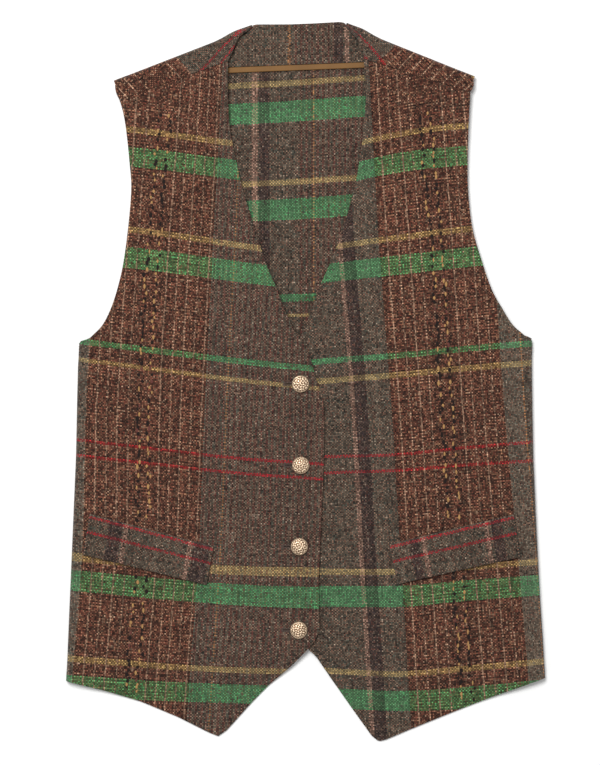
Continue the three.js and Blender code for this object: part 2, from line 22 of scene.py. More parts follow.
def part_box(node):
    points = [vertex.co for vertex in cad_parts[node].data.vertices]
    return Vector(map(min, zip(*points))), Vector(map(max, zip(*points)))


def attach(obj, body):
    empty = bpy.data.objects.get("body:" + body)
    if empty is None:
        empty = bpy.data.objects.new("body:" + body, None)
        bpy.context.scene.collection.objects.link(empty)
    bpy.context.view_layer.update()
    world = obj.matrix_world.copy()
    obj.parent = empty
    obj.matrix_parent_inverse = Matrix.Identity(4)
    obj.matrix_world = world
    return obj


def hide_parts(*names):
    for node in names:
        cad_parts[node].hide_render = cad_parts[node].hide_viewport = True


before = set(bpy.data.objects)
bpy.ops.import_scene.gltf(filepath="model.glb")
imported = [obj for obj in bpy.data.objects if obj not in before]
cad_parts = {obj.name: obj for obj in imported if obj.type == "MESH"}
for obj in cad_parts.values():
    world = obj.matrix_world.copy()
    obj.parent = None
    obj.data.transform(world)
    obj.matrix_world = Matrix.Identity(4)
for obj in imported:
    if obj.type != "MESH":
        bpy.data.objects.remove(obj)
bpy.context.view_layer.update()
MM = 0.001


def link(obj):
    """Puts a new object in the scene."""
    bpy.context.scene.collection.objects.link(obj)
    return obj


print("nodes in the frame:", ", ".join(sorted(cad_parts)))

# %% [markdown]
# ## The camera
#
# The picture was taken from straight above with a long lens. A camera that looks down its own -Z with
# +Y up needs no turning at all: it is only put over the middle of the picture, at the distance where
# the long side of the sensor takes in the height of the picture.

# %% Camera
PICTURE_MIDDLE = (-5.1, -0.6)
PICTURE_HEIGHT = 703.8
LENS = 100.0
SENSOR = 36.0
CLOTH_LEVEL = 6.0

camera_data = bpy.data.cameras.new("camera")
camera_data.lens = LENS
camera_data.sensor_width = SENSOR
camera_data.clip_end = 20.0
camera = link(bpy.data.objects.new("camera", camera_data))
camera.location = (
    PICTURE_MIDDLE[0] * MM,
    PICTURE_MIDDLE[1] * MM,
    (PICTURE_HEIGHT * LENS / SENSOR + CLOTH_LEVEL) * MM,
)
bpy.context.scene.camera = camera
print("camera height:", round(camera.location.z, 3), "m")

# %% [markdown]
# ## Curves in numbers
#
# The panels are drawn by short tables in millimetres. These helpers read a table between its rows:
# `ease` starts and ends gently, `mix` is a straight line, and `along` is a smooth curve through
# every value. They work on whole arrays at once, because a panel has tens of thousands of points.


# %% Curve helpers
def ease(t):
    t = np.clip(t, 0.0, 1.0)
    return t * t * (3.0 - 2.0 * t)


def mix(a, b, t):
    return a + (b - a) * t


def along(values, place):
    """The smooth curve through values, read at a place from 0 to the last one."""
    values = np.asarray(values, float)
    place = np.asarray(place, float)
    low = np.clip(np.floor(place).astype(int), 0, len(values) - 2)
    t = place - low
    first = 2 * values[0] - values[1]
    last = 2 * values[-1] - values[-2]
    padded = np.concatenate([[first], values, [last]])
    before, a, b, after = (padded[low + k] for k in range(4))
    bend = 2 * before - 5 * a + 4 * b - after
    return a + 0.5 * t * (b - before + t * (bend + t * (3 * (a - b) + after - before)))


def places_between(sections, columns, step):
    """Places through a table so that the rows made there lie about a step apart."""
    places = [0.0]
    for k in range(len(sections) - 1):
        size = max(abs(sections[k + 1][c] - sections[k][c]) for c in columns)
        count = max(3, math.ceil(size / step))
        places += [k + (i + 1) / count for i in range(count)]
    return np.array(places)


# %% [markdown]
# ## The cut of the fronts
#
# Each front is ruled between two edges. A row of the table is one line across the panel: where it
# starts at the side or armhole, and where it ends at the front edge. The hem has its own outline,
# with the point and the notch, and its shape fades out over the rows above it.

# %% Tables of the fronts
CLOTH = 2.0
GAP = 0.3
FOLD = 3.5
UNDER = 8.0
TABLE = CLOTH / 2
FOLD_TOP = TABLE + 2 * FOLD
REST = 4.3
TURNED = math.pi * FOLD - FOLD + UNDER
FLAT_FOLD = 1e-9  # the radius where the cloth isn't folded but lies on the table
UNDERARM = 33.0
UNDERARM_ROW = 7
FRONT_HEM_FADES = 4.2
SIDE_REACH = 62.0
ARM_REACH = 80.0
SHOULDER_REACH = 90.0
POINT_REACH = 45.0
OVERLAP = {"rise": CLOTH + 0.8, "start": -48.0, "width": 22.0, "fade_from": -250.0, "fade_length": 32.0}

# Columns: side x, side y, front x, front y
RIGHT_SECTIONS = np.array([
    (-220.5, -275.3, 13.0, -225.5),
    (-219.4, -253.1, 12.3, -208.0),
    (-217.7, -212.0, 12.2, -180.0),
    (-214.6, -140.0, 14.6, -124.0),
    (-211.5, -68.0, 17.1, -62.0),
    (-210.4, -14.0, 16.4, -20.0),
    (-209.7, 14.0, 9.9, 2.0),
    (-208.8, 28.0, 4.0, 23.0),
    (-197.6, 40.8, -5.3, 39.3),
    (-187.0, 51.7, -11.0, 48.5),
    (-179.3, 66.7, -18.9, 66.0),
    (-173.2, 85.1, -27.0, 87.0),
    (-167.9, 107.9, -35.6, 107.0),
    (-163.5, 140.0, -46.4, 140.0),
    (-160.4, 176.8, -57.6, 176.5),
    (-162.0, 203.0, -64.2, 205.0),
    (-165.0, 232.4, -69.6, 234.0),
    (-167.9, 248.6, -71.4, 264.0),
    (-170.8, 258.8, -71.2, 294.6),
])
LEFT_SECTIONS = np.array([
    (220.6, -272.4, -24.0, -224.0),
    (218.9, -241.6, -24.3, -206.0),
    (216.1, -200.4, -24.6, -178.0),
    (212.9, -140.0, -25.0, -124.0),
    (209.8, -70.0, -25.0, -62.0),
    (208.7, -10.0, -22.5, -15.0),
    (208.4, 16.0, -15.5, 11.0),
    (208.6, 31.0, -9.4, 29.0),
    (201.0, 42.7, -3.0, 45.5),
    (190.4, 52.3, 2.0, 58.0),
    (180.3, 68.3, 7.2, 71.5),
    (171.2, 85.0, 13.2, 88.0),
    (162.5, 110.0, 23.0, 110.5),
    (153.8, 140.0, 34.2, 140.0),
    (149.7, 173.0, 43.8, 174.0),
    (149.0, 205.3, 49.8, 204.0),
    (149.8, 236.0, 53.6, 238.0),
    (150.7, 253.0, 55.6, 268.0),
    (151.5, 266.0, 53.5, 296.4),
])
# Columns: x, y
RIGHT_HEM = np.array([
    (-220.5, -275.3), (-187.0, -283.8), (-153.4, -294.2), (-118.0, -309.0), (-90.0, -323.0),
    (-81.0, -326.6), (-73.0, -321.0), (-49.6, -295.2), (-34.3, -279.6), (-13.2, -261.4),
    (1.5, -246.4), (9.4, -237.2), (13.0, -225.5),
])
LEFT_HEM = np.array([
    (-24.0, -224.0), (-20.5, -236.0), (-12.0, -241.4), (2.0, -245.6), (9.8, -252.6),
    (25.6, -276.0), (41.6, -298.8), (61.0, -325.8), (67.6, -331.4), (75.0, -329.6),
    (94.5, -321.3), (132.0, -306.1), (173.1, -290.0), (220.6, -272.4),
])
RIGHT = {"name": "front_right", "hand": -1, "sections": RIGHT_SECTIONS, "hem": RIGHT_HEM}
LEFT = {"name": "front_left", "hand": 1, "sections": LEFT_SECTIONS, "hem": LEFT_HEM}
print("right front:", len(RIGHT_SECTIONS), "sections, hem of", len(RIGHT_HEM), "points")

# %% [markdown]
# ## How the fronts lie
#
# A front lies on the back, and lifts at the two places where the cloth is folded: the side and the
# shoulder. Between them it keeps soft ridges and a slight fullness over the bust. The right front
# also rises over the left one. The points of the hem hang past the back and lie on the table.

# %% Heights of the fronts
# Columns: x, y, length, width, direction in degrees, height
DRAPE = [
    (-100, 30, 150, 95, 84, 2.3),
    (98, 30, 150, 95, 96, 2.3),
    (-128, 196, 95, 30, 102, 0.9),
    (118, 190, 105, 30, 80, 0.9),
    (-150, -60, 110, 26, 78, 0.8),
    (152, -52, 120, 28, 100, 0.7),
    (-62, -96, 70, 24, 12, 0.5),
    (74, -62, 80, 26, -16, 0.6),
    (-132, -222, 80, 34, 98, 0.8),
    (128, -226, 84, 32, 84, 0.8),
]
DRAPE_CLEAR = {"side": 30.0, "shoulder": 40.0}
BACK_HEM = {"middle": -238.0, "side": -273.0, "half_width": 208.0}


def side_edge(front, y):
    side = front["sections"][front["sections"][:, 1] < UNDERARM]
    return np.interp(y, side[:, 1], side[:, 0]) - front["hand"] * CLOTH / 2


def hem_at(front, x):
    return np.interp(x, front["hem"][:, 0], front["hem"][:, 1])


def back_hem(x):
    return mix(BACK_HEM["middle"], BACK_HEM["side"], (x / BACK_HEM["half_width"]) ** 2)


def drape(x, y):
    total = np.zeros(np.broadcast(x, y).shape)
    for mid_x, mid_y, length, width, direction, height in DRAPE:
        turn = math.radians(direction)
        run = (x - mid_x) * math.cos(turn) + (y - mid_y) * math.sin(turn)
        across = (y - mid_y) * math.cos(turn) - (x - mid_x) * math.sin(turn)
        total += height * np.exp(-((run / length) ** 2) - (across / width) ** 2)
    return total


def front_height(front, x, y):
    """The height of the middle of a front's cloth over the table."""
    hand = front["hand"]
    inward = -hand * (x - side_edge(front, y))
    by_side = (1 - ease((inward - FOLD) / SIDE_REACH)) * (1 - ease((y - UNDERARM) / ARM_REACH))
    side_x, side_y, front_x, front_y = front["sections"][-1]
    slope = (front_y - side_y) / (front_x - side_x)
    below = (side_y + slope * (x - side_x) - y) / math.hypot(1, slope)
    by_shoulder = 1 - ease(below / SHOULDER_REACH)
    fold = np.maximum(by_side, by_shoulder)
    free = ease((inward - FOLD) / DRAPE_CLEAR["side"]) * ease(below / DRAPE_CLEAR["shoulder"])
    past_hem = ease((back_hem(x) - y) / POINT_REACH)
    height = mix(mix(REST, FOLD_TOP, fold) + drape(x, y) * free, TABLE, past_hem)
    if hand > 0:
        return height
    over_left = ease((x - OVERLAP["start"]) / OVERLAP["width"]) * (1 - by_shoulder)
    fade = 1 - ease((OVERLAP["fade_from"] - y) / OVERLAP["fade_length"])
    return height + OVERLAP["rise"] * over_left * fade


def lay_front(front, x, y):
    """Puts points of the flat cut where they lie: on top, round the side fold, or below."""
    hand = front["hand"]
    edge = side_edge(front, y)
    radius = np.maximum((front_height(front, edge - hand * FOLD, y) - TABLE) / 2, FLAT_FOLD)
    quarter = math.pi / 2 * radius
    inward = -hand * (x - edge) - radius + quarter
    angle = np.clip(inward / radius, -math.pi / 2, math.pi / 2)
    below = radius - inward - quarter
    in_fold = radius * (1 - np.cos(angle))
    turned_x = edge - hand * np.where(inward <= -quarter, below, in_fold)
    turned_z = TABLE + radius * (1 + np.sin(angle))
    on_top = inward >= quarter
    laid_x = np.where(on_top, x, turned_x)
    laid_z = np.where(on_top, front_height(front, x, y), turned_z)
    return np.stack([laid_x, y, laid_z], axis=-1)


def height_at(front, x, y):
    """The height of a front at one point, as a plain number."""
    return float(front_height(front, np.array(x), np.array(y)))


print("height over the bust:", round(height_at(RIGHT, -100.0, 30.0), 2), "mm")

# %% [markdown]
# ## Where the check runs
#
# A check follows its threads, and the threads of a panel aren't straight once it is shaped and laid
# down. So each front has two tables of pattern lines. A cross line gives the height of one weft
# stripe at four places across the front, and a long line gives the place of one warp stripe at five
# heights. Between two lines, the cloth coordinate is shared out evenly. It becomes the UV map, in
# metres of real cloth, and the material draws its threads and stripes on that.

# %% Pattern lines of the fronts
# Columns: yarn, width of the stripe, and its height at the places in CROSS_AT
CROSS_AT = {"front_right": (-208.2, -134.6, -61.0, 12.6), "front_left": (21.8, 86.2, 150.6, 215.0)}
CROSS_LINES = {
    "front_right": [
        ("yellow", 5.6, (238.9, 230.0, 220.1, 210.9)),
        ("green", 17.6, (213.2, 205.5, 196.2, 187.9)),
        ("yellow", 5.6, (145.0, 136.2, 125.1, 115.3)),
        ("green", 19.0, (118.1, 110.9, 101.2, 91.8)),
        ("green", 5.4, (37.4, 28.0, 19.0, 11.6)),
        ("yellow", 4.8, (21.0, 11.4, 1.8, -5.9)),
        ("red", 2.76, (-53.0, -61.8, -70.0, -75.1)),
        ("red", 2.76, (-68.0, -76.5, -84.4, -89.4)),
        ("yellow", 8.4, (-159.8, -167.3, -172.2, -173.2)),
        ("green", 20.0, (-182.8, -190.3, -196.5, -199.4)),
        ("yellow", 5.2, (-254.3, -261.1, -265.2, -266.6)),
        ("green", 18.4, (-279.6, -284.5, -287.4, -289.6)),
    ],
    "front_left": [
        ("yellow", 5.6, (213.9, 229.9, 237.6, 239.4)),
        ("green", 18.4, (189.1, 203.7, 210.0, 211.8)),
        ("yellow", 5.6, (124.2, 133.1, 141.2, 148.3)),
        ("green", 18.6, (100.7, 107.9, 115.0, 121.6)),
        ("green", 5.0, (18.8, 23.8, 30.2, 35.1)),
        ("yellow", 5.6, (1.6, 7.0, 13.2, 18.2)),
        ("red", 2.76, (-69.0, -67.0, -60.4, -55.1)),
        ("red", 2.76, (-83.7, -81.2, -76.1, -72.1)),
        ("yellow", 5.2, (-172.6, -172.6, -168.4, -163.1)),
        ("green", 19.8, (-197.4, -197.4, -191.4, -186.5)),
        ("yellow", 5.2, (-266.1, -269.1, -263.4, -257.1)),
        ("green", 19.6, (-290.9, -293.9, -290.5, -282.9)),
    ],
}
# Columns: name of the long line, and its place at the heights in LONG_AT, from the shoulder down
LONG_AT = (259.6, 121.6, -16.4, -154.4, -292.4)
LONG_LINES = {
    "front_right": {
        "band_start": (-190.7, -194.4, -203.0, -206.8, -217.6),
        "slub": (-132.8, -145.0, -153.2, -154.9, -166.8),
        "band_end": (-78.0, -85.4, -92.6, -98.3, -108.4),
        "orange": (-59.4, -65.3, -72.6, -78.4, -87.6),
        "front": (17.2, 14.4, 10.8, 7.1, -0.3),
    },
    "front_left": {
        "pink": (22.3, 31.6, 43.0, 50.6, 59.2),
        "band_start": (60.4, 68.3, 79.0, 87.6, 96.2),
        "slub": (103.7, 116.1, 124.5, 133.9, 144.2),
        "band_end": (165.3, 172.7, 181.9, 194.5, 206.7),
        "orange": (184.6, 192.5, 200.9, 211.3, 220.5),
    },
}
MIDDLE_HEIGHT = 2  # the place in LONG_AT where a long line's own coordinate is read
# How far each table of lines is read, in steps: a little past its two ends
CROSS_READ = (-0.3, 3.2)
LONG_READ = (-0.3, 4.3)


def long_place(y):
    """Where a height lies among those in LONG_AT, which are evenly spaced."""
    return (LONG_AT[0] - y) / (LONG_AT[0] - LONG_AT[1])


def share_out(lines, values, place):
    """The value at each place between lines whose values are known; lines and places run the same way."""
    low = np.clip((lines <= place).sum(axis=0) - 1, 0, len(values) - 2)
    each = np.arange(place.size)
    start, end = lines[low, each], lines[low + 1, each]
    t = (place - start) / (end - start)
    return values[low] + t * (values[low + 1] - values[low])


def cross_value(heights):
    """The cloth coordinate of a cross line, counted downwards: its height halfway between two places."""
    return -0.5 * (heights[1] + heights[2])


def front_cloth_map(name, x, y):
    """The cloth coordinates of points of a front's flat cut, in millimetres."""
    x, y = x.ravel(), y.ravel()
    across = CROSS_AT[name]
    place = np.clip((x - across[0]) / (across[1] - across[0]), *CROSS_READ)
    cross = np.array([-along(heights, place) for _, _, heights in CROSS_LINES[name]])
    cross_values = np.array([cross_value(heights) for _, _, heights in CROSS_LINES[name]])
    v = share_out(cross, cross_values, -y)
    down = np.clip(long_place(y), *LONG_READ)
    long_lines = list(LONG_LINES[name].values())
    long = np.array([along(xs, down) for xs in long_lines])
    long_values = np.array([xs[MIDDLE_HEIGHT] for xs in long_lines])
    u = share_out(long, long_values, x)
    return np.stack([u, v], axis=-1)


def cross_stripes(lines):
    """The weft stripes of a table of cross lines, as (yarn, start, end) in cloth coordinates."""
    stripes = []
    for yarn, width, heights in lines:
        middle = cross_value(heights)
        stripes.append((yarn, middle - width / 2, middle + width / 2))
    return stripes


print("cross lines on each front:", len(CROSS_LINES["front_right"]))

# %% [markdown]
# ## Yarns
#
# The tweed is woven from wool yarns of a few colours. The ground is a grey warp crossed by a taupe
# weft, and the wide band has a rust brown warp instead. Where a coloured weft crosses, half of what
# shows is the warp, so one green weft gives a sea green on the grey and an olive on the brown. The
# colours below are those of the yarns, as linear values.

# %% Yarn colours
YARNS = {
    "grey": (0.083, 0.080, 0.060),
    "side": (0.140, 0.126, 0.095),
    "taupe": (0.102, 0.061, 0.041),
    "rust": (0.093, 0.028, 0.0185),
    "fuzz": (0.128, 0.050, 0.034),
    "dark": (0.036, 0.023, 0.022),
    "green": (0.065, 0.208, 0.081),
    "yellow": (0.312, 0.212, 0.088),
    "red": (0.270, 0.016, 0.020),
    "pink": (0.270, 0.170, 0.125),
    "rose": (0.400, 0.230, 0.170),
    "orange": (0.400, 0.190, 0.080),
    "rust_line": (0.112, 0.036, 0.029),
    "ochre": (0.360, 0.200, 0.075),
    "tan": (0.220, 0.125, 0.075),
    "pale": (0.225, 0.172, 0.128),
    "ink": (0.011, 0.006, 0.005),
    "tape": (0.178, 0.082, 0.017),
}
THREAD = 1.38  # millimetres from one thread to the next

# %% [markdown]
# ## Building materials
#
# Materials are node graphs. A short vocabulary keeps them readable: `calc` is a Math node, with
# `between`, `over` and `product` for its commonest uses, and `scale` and `blend` work on colours. Each
# takes either numbers or the output of another node.


# %% Node helpers
def plug(tree, value, socket):
    if isinstance(value, bpy.types.NodeSocket):
        tree.links.new(value, socket)
    elif hasattr(value, "__len__") and socket.type == "RGBA":
        socket.default_value = (*value[:3], 1.0)
    else:
        socket.default_value = value


def calc(tree, operation, *values):
    node = tree.nodes.new("ShaderNodeMath")
    node.operation = operation
    for value, socket in zip(values, node.inputs):
        plug(tree, value, socket)
    return node.outputs[0]


def vector(tree, x=0.0, y=0.0, z=0.0):
    node = tree.nodes.new("ShaderNodeCombineXYZ")
    for value, socket in zip((x, y, z), node.inputs):
        plug(tree, value, socket)
    return node.outputs[0]


def scale(tree, colour, amount):
    node = tree.nodes.new("ShaderNodeVectorMath")
    node.operation = "SCALE"
    plug(tree, colour, node.inputs[0])
    plug(tree, amount, node.inputs["Scale"])
    return node.outputs[0]


def blend(tree, amount, first, second, way="MIX"):
    node = tree.nodes.new("ShaderNodeMix")
    node.data_type = "RGBA"
    node.blend_type = way
    plug(tree, amount, node.inputs["Factor"])
    plug(tree, first, node.inputs["A"])
    plug(tree, second, node.inputs["B"])
    return next(out for out in node.outputs if out.type == "RGBA")


def white_noise(tree, where):
    node = tree.nodes.new("ShaderNodeTexWhiteNoise")
    node.noise_dimensions = "3D"
    plug(tree, where, node.inputs["Vector"])
    return node.outputs["Value"]


def noise(tree, where, size, detail=2.0):
    """Soft noise whose features are about a size in metres."""
    node = tree.nodes.new("ShaderNodeTexNoise")
    plug(tree, where, node.inputs["Vector"])
    node.inputs["Scale"].default_value = 1.0 / size
    node.inputs["Detail"].default_value = detail
    return node


def fixed_noise(tree, size, detail=2.0):
    """Noise that is fixed to the object, from 0 to 1."""
    where = tree.nodes.new("ShaderNodeTexCoord").outputs["Object"]
    return noise(tree, where, size, detail).outputs["Fac"]


def attribute(tree, name):
    node = tree.nodes.new("ShaderNodeAttribute")
    node.attribute_name = name
    return node.outputs


def cloth_uv(tree):
    """The cloth coordinates of a panel, in metres."""
    node = tree.nodes.new("ShaderNodeUVMap")
    node.uv_map = "cloth"
    return node.outputs["UV"]


def split(tree, where):
    """The three parts of a vector, by their names."""
    node = tree.nodes.new("ShaderNodeSeparateXYZ")
    plug(tree, where, node.inputs["Vector"])
    return node.outputs


def between(tree, value, low, high):
    """Moves a value from 0 to 1 into low to high."""
    return calc(tree, "MULTIPLY_ADD", value, high - low, low)


def over(tree, value, limit):
    """1 where a value is over the limit, and 0 elsewhere."""
    return calc(tree, "GREATER_THAN", value, limit)


def product(tree, *values):
    total = values[0]
    for value in values[1:]:
        total = calc(tree, "MULTIPLY", total, value)
    return total


def is_odd(tree, number):
    """1 for an odd whole number, and 0 for an even one."""
    return product(tree, calc(tree, "FRACT", product(tree, number, 0.5)), 2.0)


def new_material(name, roughness=0.9, metallic=0.0, sheen=0.0, specular=0.3):
    material = bpy.data.materials.new(name)
    material.use_nodes = True
    tree = material.node_tree
    shader = tree.nodes["Principled BSDF"]
    shader.inputs["Roughness"].default_value = roughness
    shader.inputs["Metallic"].default_value = metallic
    shader.inputs["Specular IOR Level"].default_value = specular
    shader.inputs["Sheen Weight"].default_value = sheen
    shader.inputs["Sheen Roughness"].default_value = 0.5
    return material, tree, shader


def bump(tree, shader, height, distance, strength=1.0):
    node = tree.nodes.new("ShaderNodeBump")
    node.inputs["Distance"].default_value = distance
    node.inputs["Strength"].default_value = strength
    plug(tree, height, node.inputs["Height"])
    tree.links.new(node.outputs["Normal"], shader.inputs["Normal"])


# %% [markdown]
# ## The tweed
#
# The weave is drawn thread by thread. The whole part of a cloth coordinate, counted in threads, says
# which warp and weft thread cross at a point. In a plain weave they take turns on top, like the
# fields of a chessboard, and a few misses make it look hand woven. Each thread is a little lighter
# or darker than the next, single crossings vary too, and flecks of other colours are spun in. Each
# crossing is also painted darker towards the edges of its threads: painted shade in the crevices.
#
# Stripes come from colour ramps with hard steps, one step for each thread where the yarn changes. The
# alpha of the warp's ramp marks what the weave does there: fine pink lines on the brown band (1),
# fine rust lines on the grey beside it (0.5), a darker weft (0.2), or nothing more (0). That of the
# weft's ramp is 1 on the taupe ground and 0 on a coloured stripe, which hides part of the warp.

# %% Tweed material
PINK_EVERY = 9.66
PINK_WIDTH = 1.25
RUST_EVERY = 5.06
RAMP_THREADS = 255
BAND, RIBBED, SHADED, PLAIN = 1.0, 0.5, 0.2, 0.0
GROUND = 1.0
BAND_HUE = (0.98, 0.91, 0.80)
# Flecks, by the random number of a crossing: from, to, how much shows, and the yarn (None: rust on
# grey cloth, and tan on the brown band)
FLECKS = [
    (0.00, 0.10, 0.70, "ink"),
    (0.84, 0.94, 0.50, None),
    (0.94, 1.00, 0.50, "pale"),
]
FLECKS_ON_STRIPES = 0.2  # the share of the flecks that still shows on a coloured stripe
WANDER = 0.7  # how far the threads wander to either side, in millimetres, over WANDER_SIZE metres
WANDER_SIZE = 0.014
MISSES = 0.56  # how far chance can push the chessboard of the weave; over 0.5, it misses now and then
RIB_SHARE = 0.42  # the part of each RUST_EVERY that is rust
PINK_BREAKS = (0.03, 0.3)  # the share of gaps in an even pink line and in an odd one
FUZZ = 0.5  # how much of the weft is lighter fuzz on the band
SHADE = 0.35  # how much darker the weft is in a shaded stripe
CROSSING_TONE = (-0.46, 0.69)  # the darkest and lightest crossing, from an even tone
BAND_CONTRAST = 1.55
STRIPE_CONTRAST = 0.75
STRIPE_COVER = 0.3  # how much of the warp a coloured weft hides
WEFT_LEAD = 0.3  # how much lighter the weft is, and how much darker the warp, beside the band
LEAD_ON_BAND, LEAD_ON_STRIPES = 0.4, 0.3
ROW_CONTRAST = 0.22  # how much lighter or darker every other weft thread is on the band
# Painted shade: a crossing's tone, from the crevices between threads, painted darker, to the thread tops.
CREVICE_SHADE = (0.40, 1.35)
WARP_TONE = (0.82, 1.18)
WEFT_TONE = (0.88, 1.12)
PATCH_TONE = (0.86, 1.14)


def stripe_steps(stripes, ground):
    """Where the yarn changes, as (thread number, yarn, mark), from stripes (yarn, start, end, mark)."""
    steps = [(-math.inf, *ground)]
    for yarn, start, end, mark in sorted(stripes, key=lambda stripe: stripe[1]):
        count = max(1, round((end - start) / THREAD))
        first = round((start + end) / 2 / THREAD - count / 2)
        if first <= steps[-1][0]:
            steps.pop()
        steps.append((first, yarn, mark))
        steps.append((first + count, *ground))
    return steps


def stripe_ramp(tree, thread, steps, first):
    """One colour ramp, which can tell RAMP_THREADS threads apart, starting at thread number first."""
    ramp_node = tree.nodes.new("ShaderNodeValToRGB")
    ramp = ramp_node.color_ramp
    ramp.interpolation = "CONSTANT"
    at_start = [step for step in steps if step[0] <= first][-1]
    later = [step for step in steps if first < step[0] < first + RAMP_THREADS]
    for k, (start, yarn, mark) in enumerate([at_start] + later):
        if k == 0:
            element = ramp.elements[0]
        else:
            element = ramp.elements.new((start - first - 0.25) / RAMP_THREADS)
        element.color = (*YARNS[yarn], mark)
    ramp.elements.remove(ramp.elements[-1])
    share = calc(tree, "DIVIDE", calc(tree, "SUBTRACT", thread, first - 0.5), RAMP_THREADS)
    plug(tree, share, ramp_node.inputs["Fac"])
    return ramp_node.outputs["Color"], ramp_node.outputs["Alpha"]


def stripe_lookup(tree, thread, stripes, ground):
    """The colour and mark of each thread, from two ramps that meet at thread 0."""
    steps = stripe_steps(stripes, ground)
    below, mark_below = stripe_ramp(tree, thread, steps, -RAMP_THREADS)
    above, mark_above = stripe_ramp(tree, thread, steps, 0)
    past_zero = calc(tree, "GREATER_THAN", thread, -0.5)
    step = calc(tree, "SUBTRACT", mark_above, mark_below)
    return blend(tree, past_zero, below, above), calc(tree, "MULTIPLY_ADD", past_zero, step, mark_below)


def cloth_place(tree, uv):
    """The cloth coordinates in millimetres, which wander a little, as threads do."""
    wander = tree.nodes.new("ShaderNodeSeparateColor")
    plug(tree, noise(tree, uv, WANDER_SIZE).outputs["Color"], wander.inputs["Color"])
    parts = split(tree, uv)
    places = []
    for axis, colour in (("X", "Red"), ("Y", "Green")):
        shift = between(tree, wander.outputs[colour], -WANDER, WANDER)
        places.append(calc(tree, "MULTIPLY_ADD", parts[axis], 1 / MM, shift))
    return places


def add_flecks(tree, colour, number, on_band, ground):
    """Spins flecks in, by the random number of a crossing."""
    tint = blend(tree, on_band, YARNS["rust"], YARNS["tan"])
    for low, high, share, yarn in FLECKS:
        here = calc(tree, "SUBTRACT", over(tree, number, low), over(tree, number, high))
        amount = product(tree, here, between(tree, ground, FLECKS_ON_STRIPES * share, share))
        colour = blend(tree, amount, colour, YARNS[yarn] if yarn else tint)
    return colour


def pink_lines(tree, u, slub_at, luck):
    """Where the pink lines show, counted from slub_at. Places 0 and 1 are left to the slub yarns."""
    lines = calc(tree, "DIVIDE", calc(tree, "SUBTRACT", u, slub_at), PINK_EVERY)
    nearest = calc(tree, "ROUND", lines)
    beside = calc(tree, "ABSOLUTE", calc(tree, "SUBTRACT", lines, nearest))
    on_line = calc(tree, "LESS_THAN", beside, PINK_WIDTH / PINK_EVERY / 2)
    from_slubs = calc(tree, "ABSOLUTE", calc(tree, "SUBTRACT", nearest, 0.5))
    unbroken = calc(tree, "GREATER_THAN", luck, between(tree, is_odd(tree, nearest), *PINK_BREAKS))
    return product(tree, on_line, over(tree, from_slubs, 1.0), unbroken)


def hump(tree, part):
    """The rounded back of a thread, from the place across it."""
    centred = calc(tree, "MULTIPLY_ADD", part, 2.0, -1.0)
    return calc(tree, "SUBTRACT", 1.0, calc(tree, "POWER", calc(tree, "ABSOLUTE", centred), 2.5))


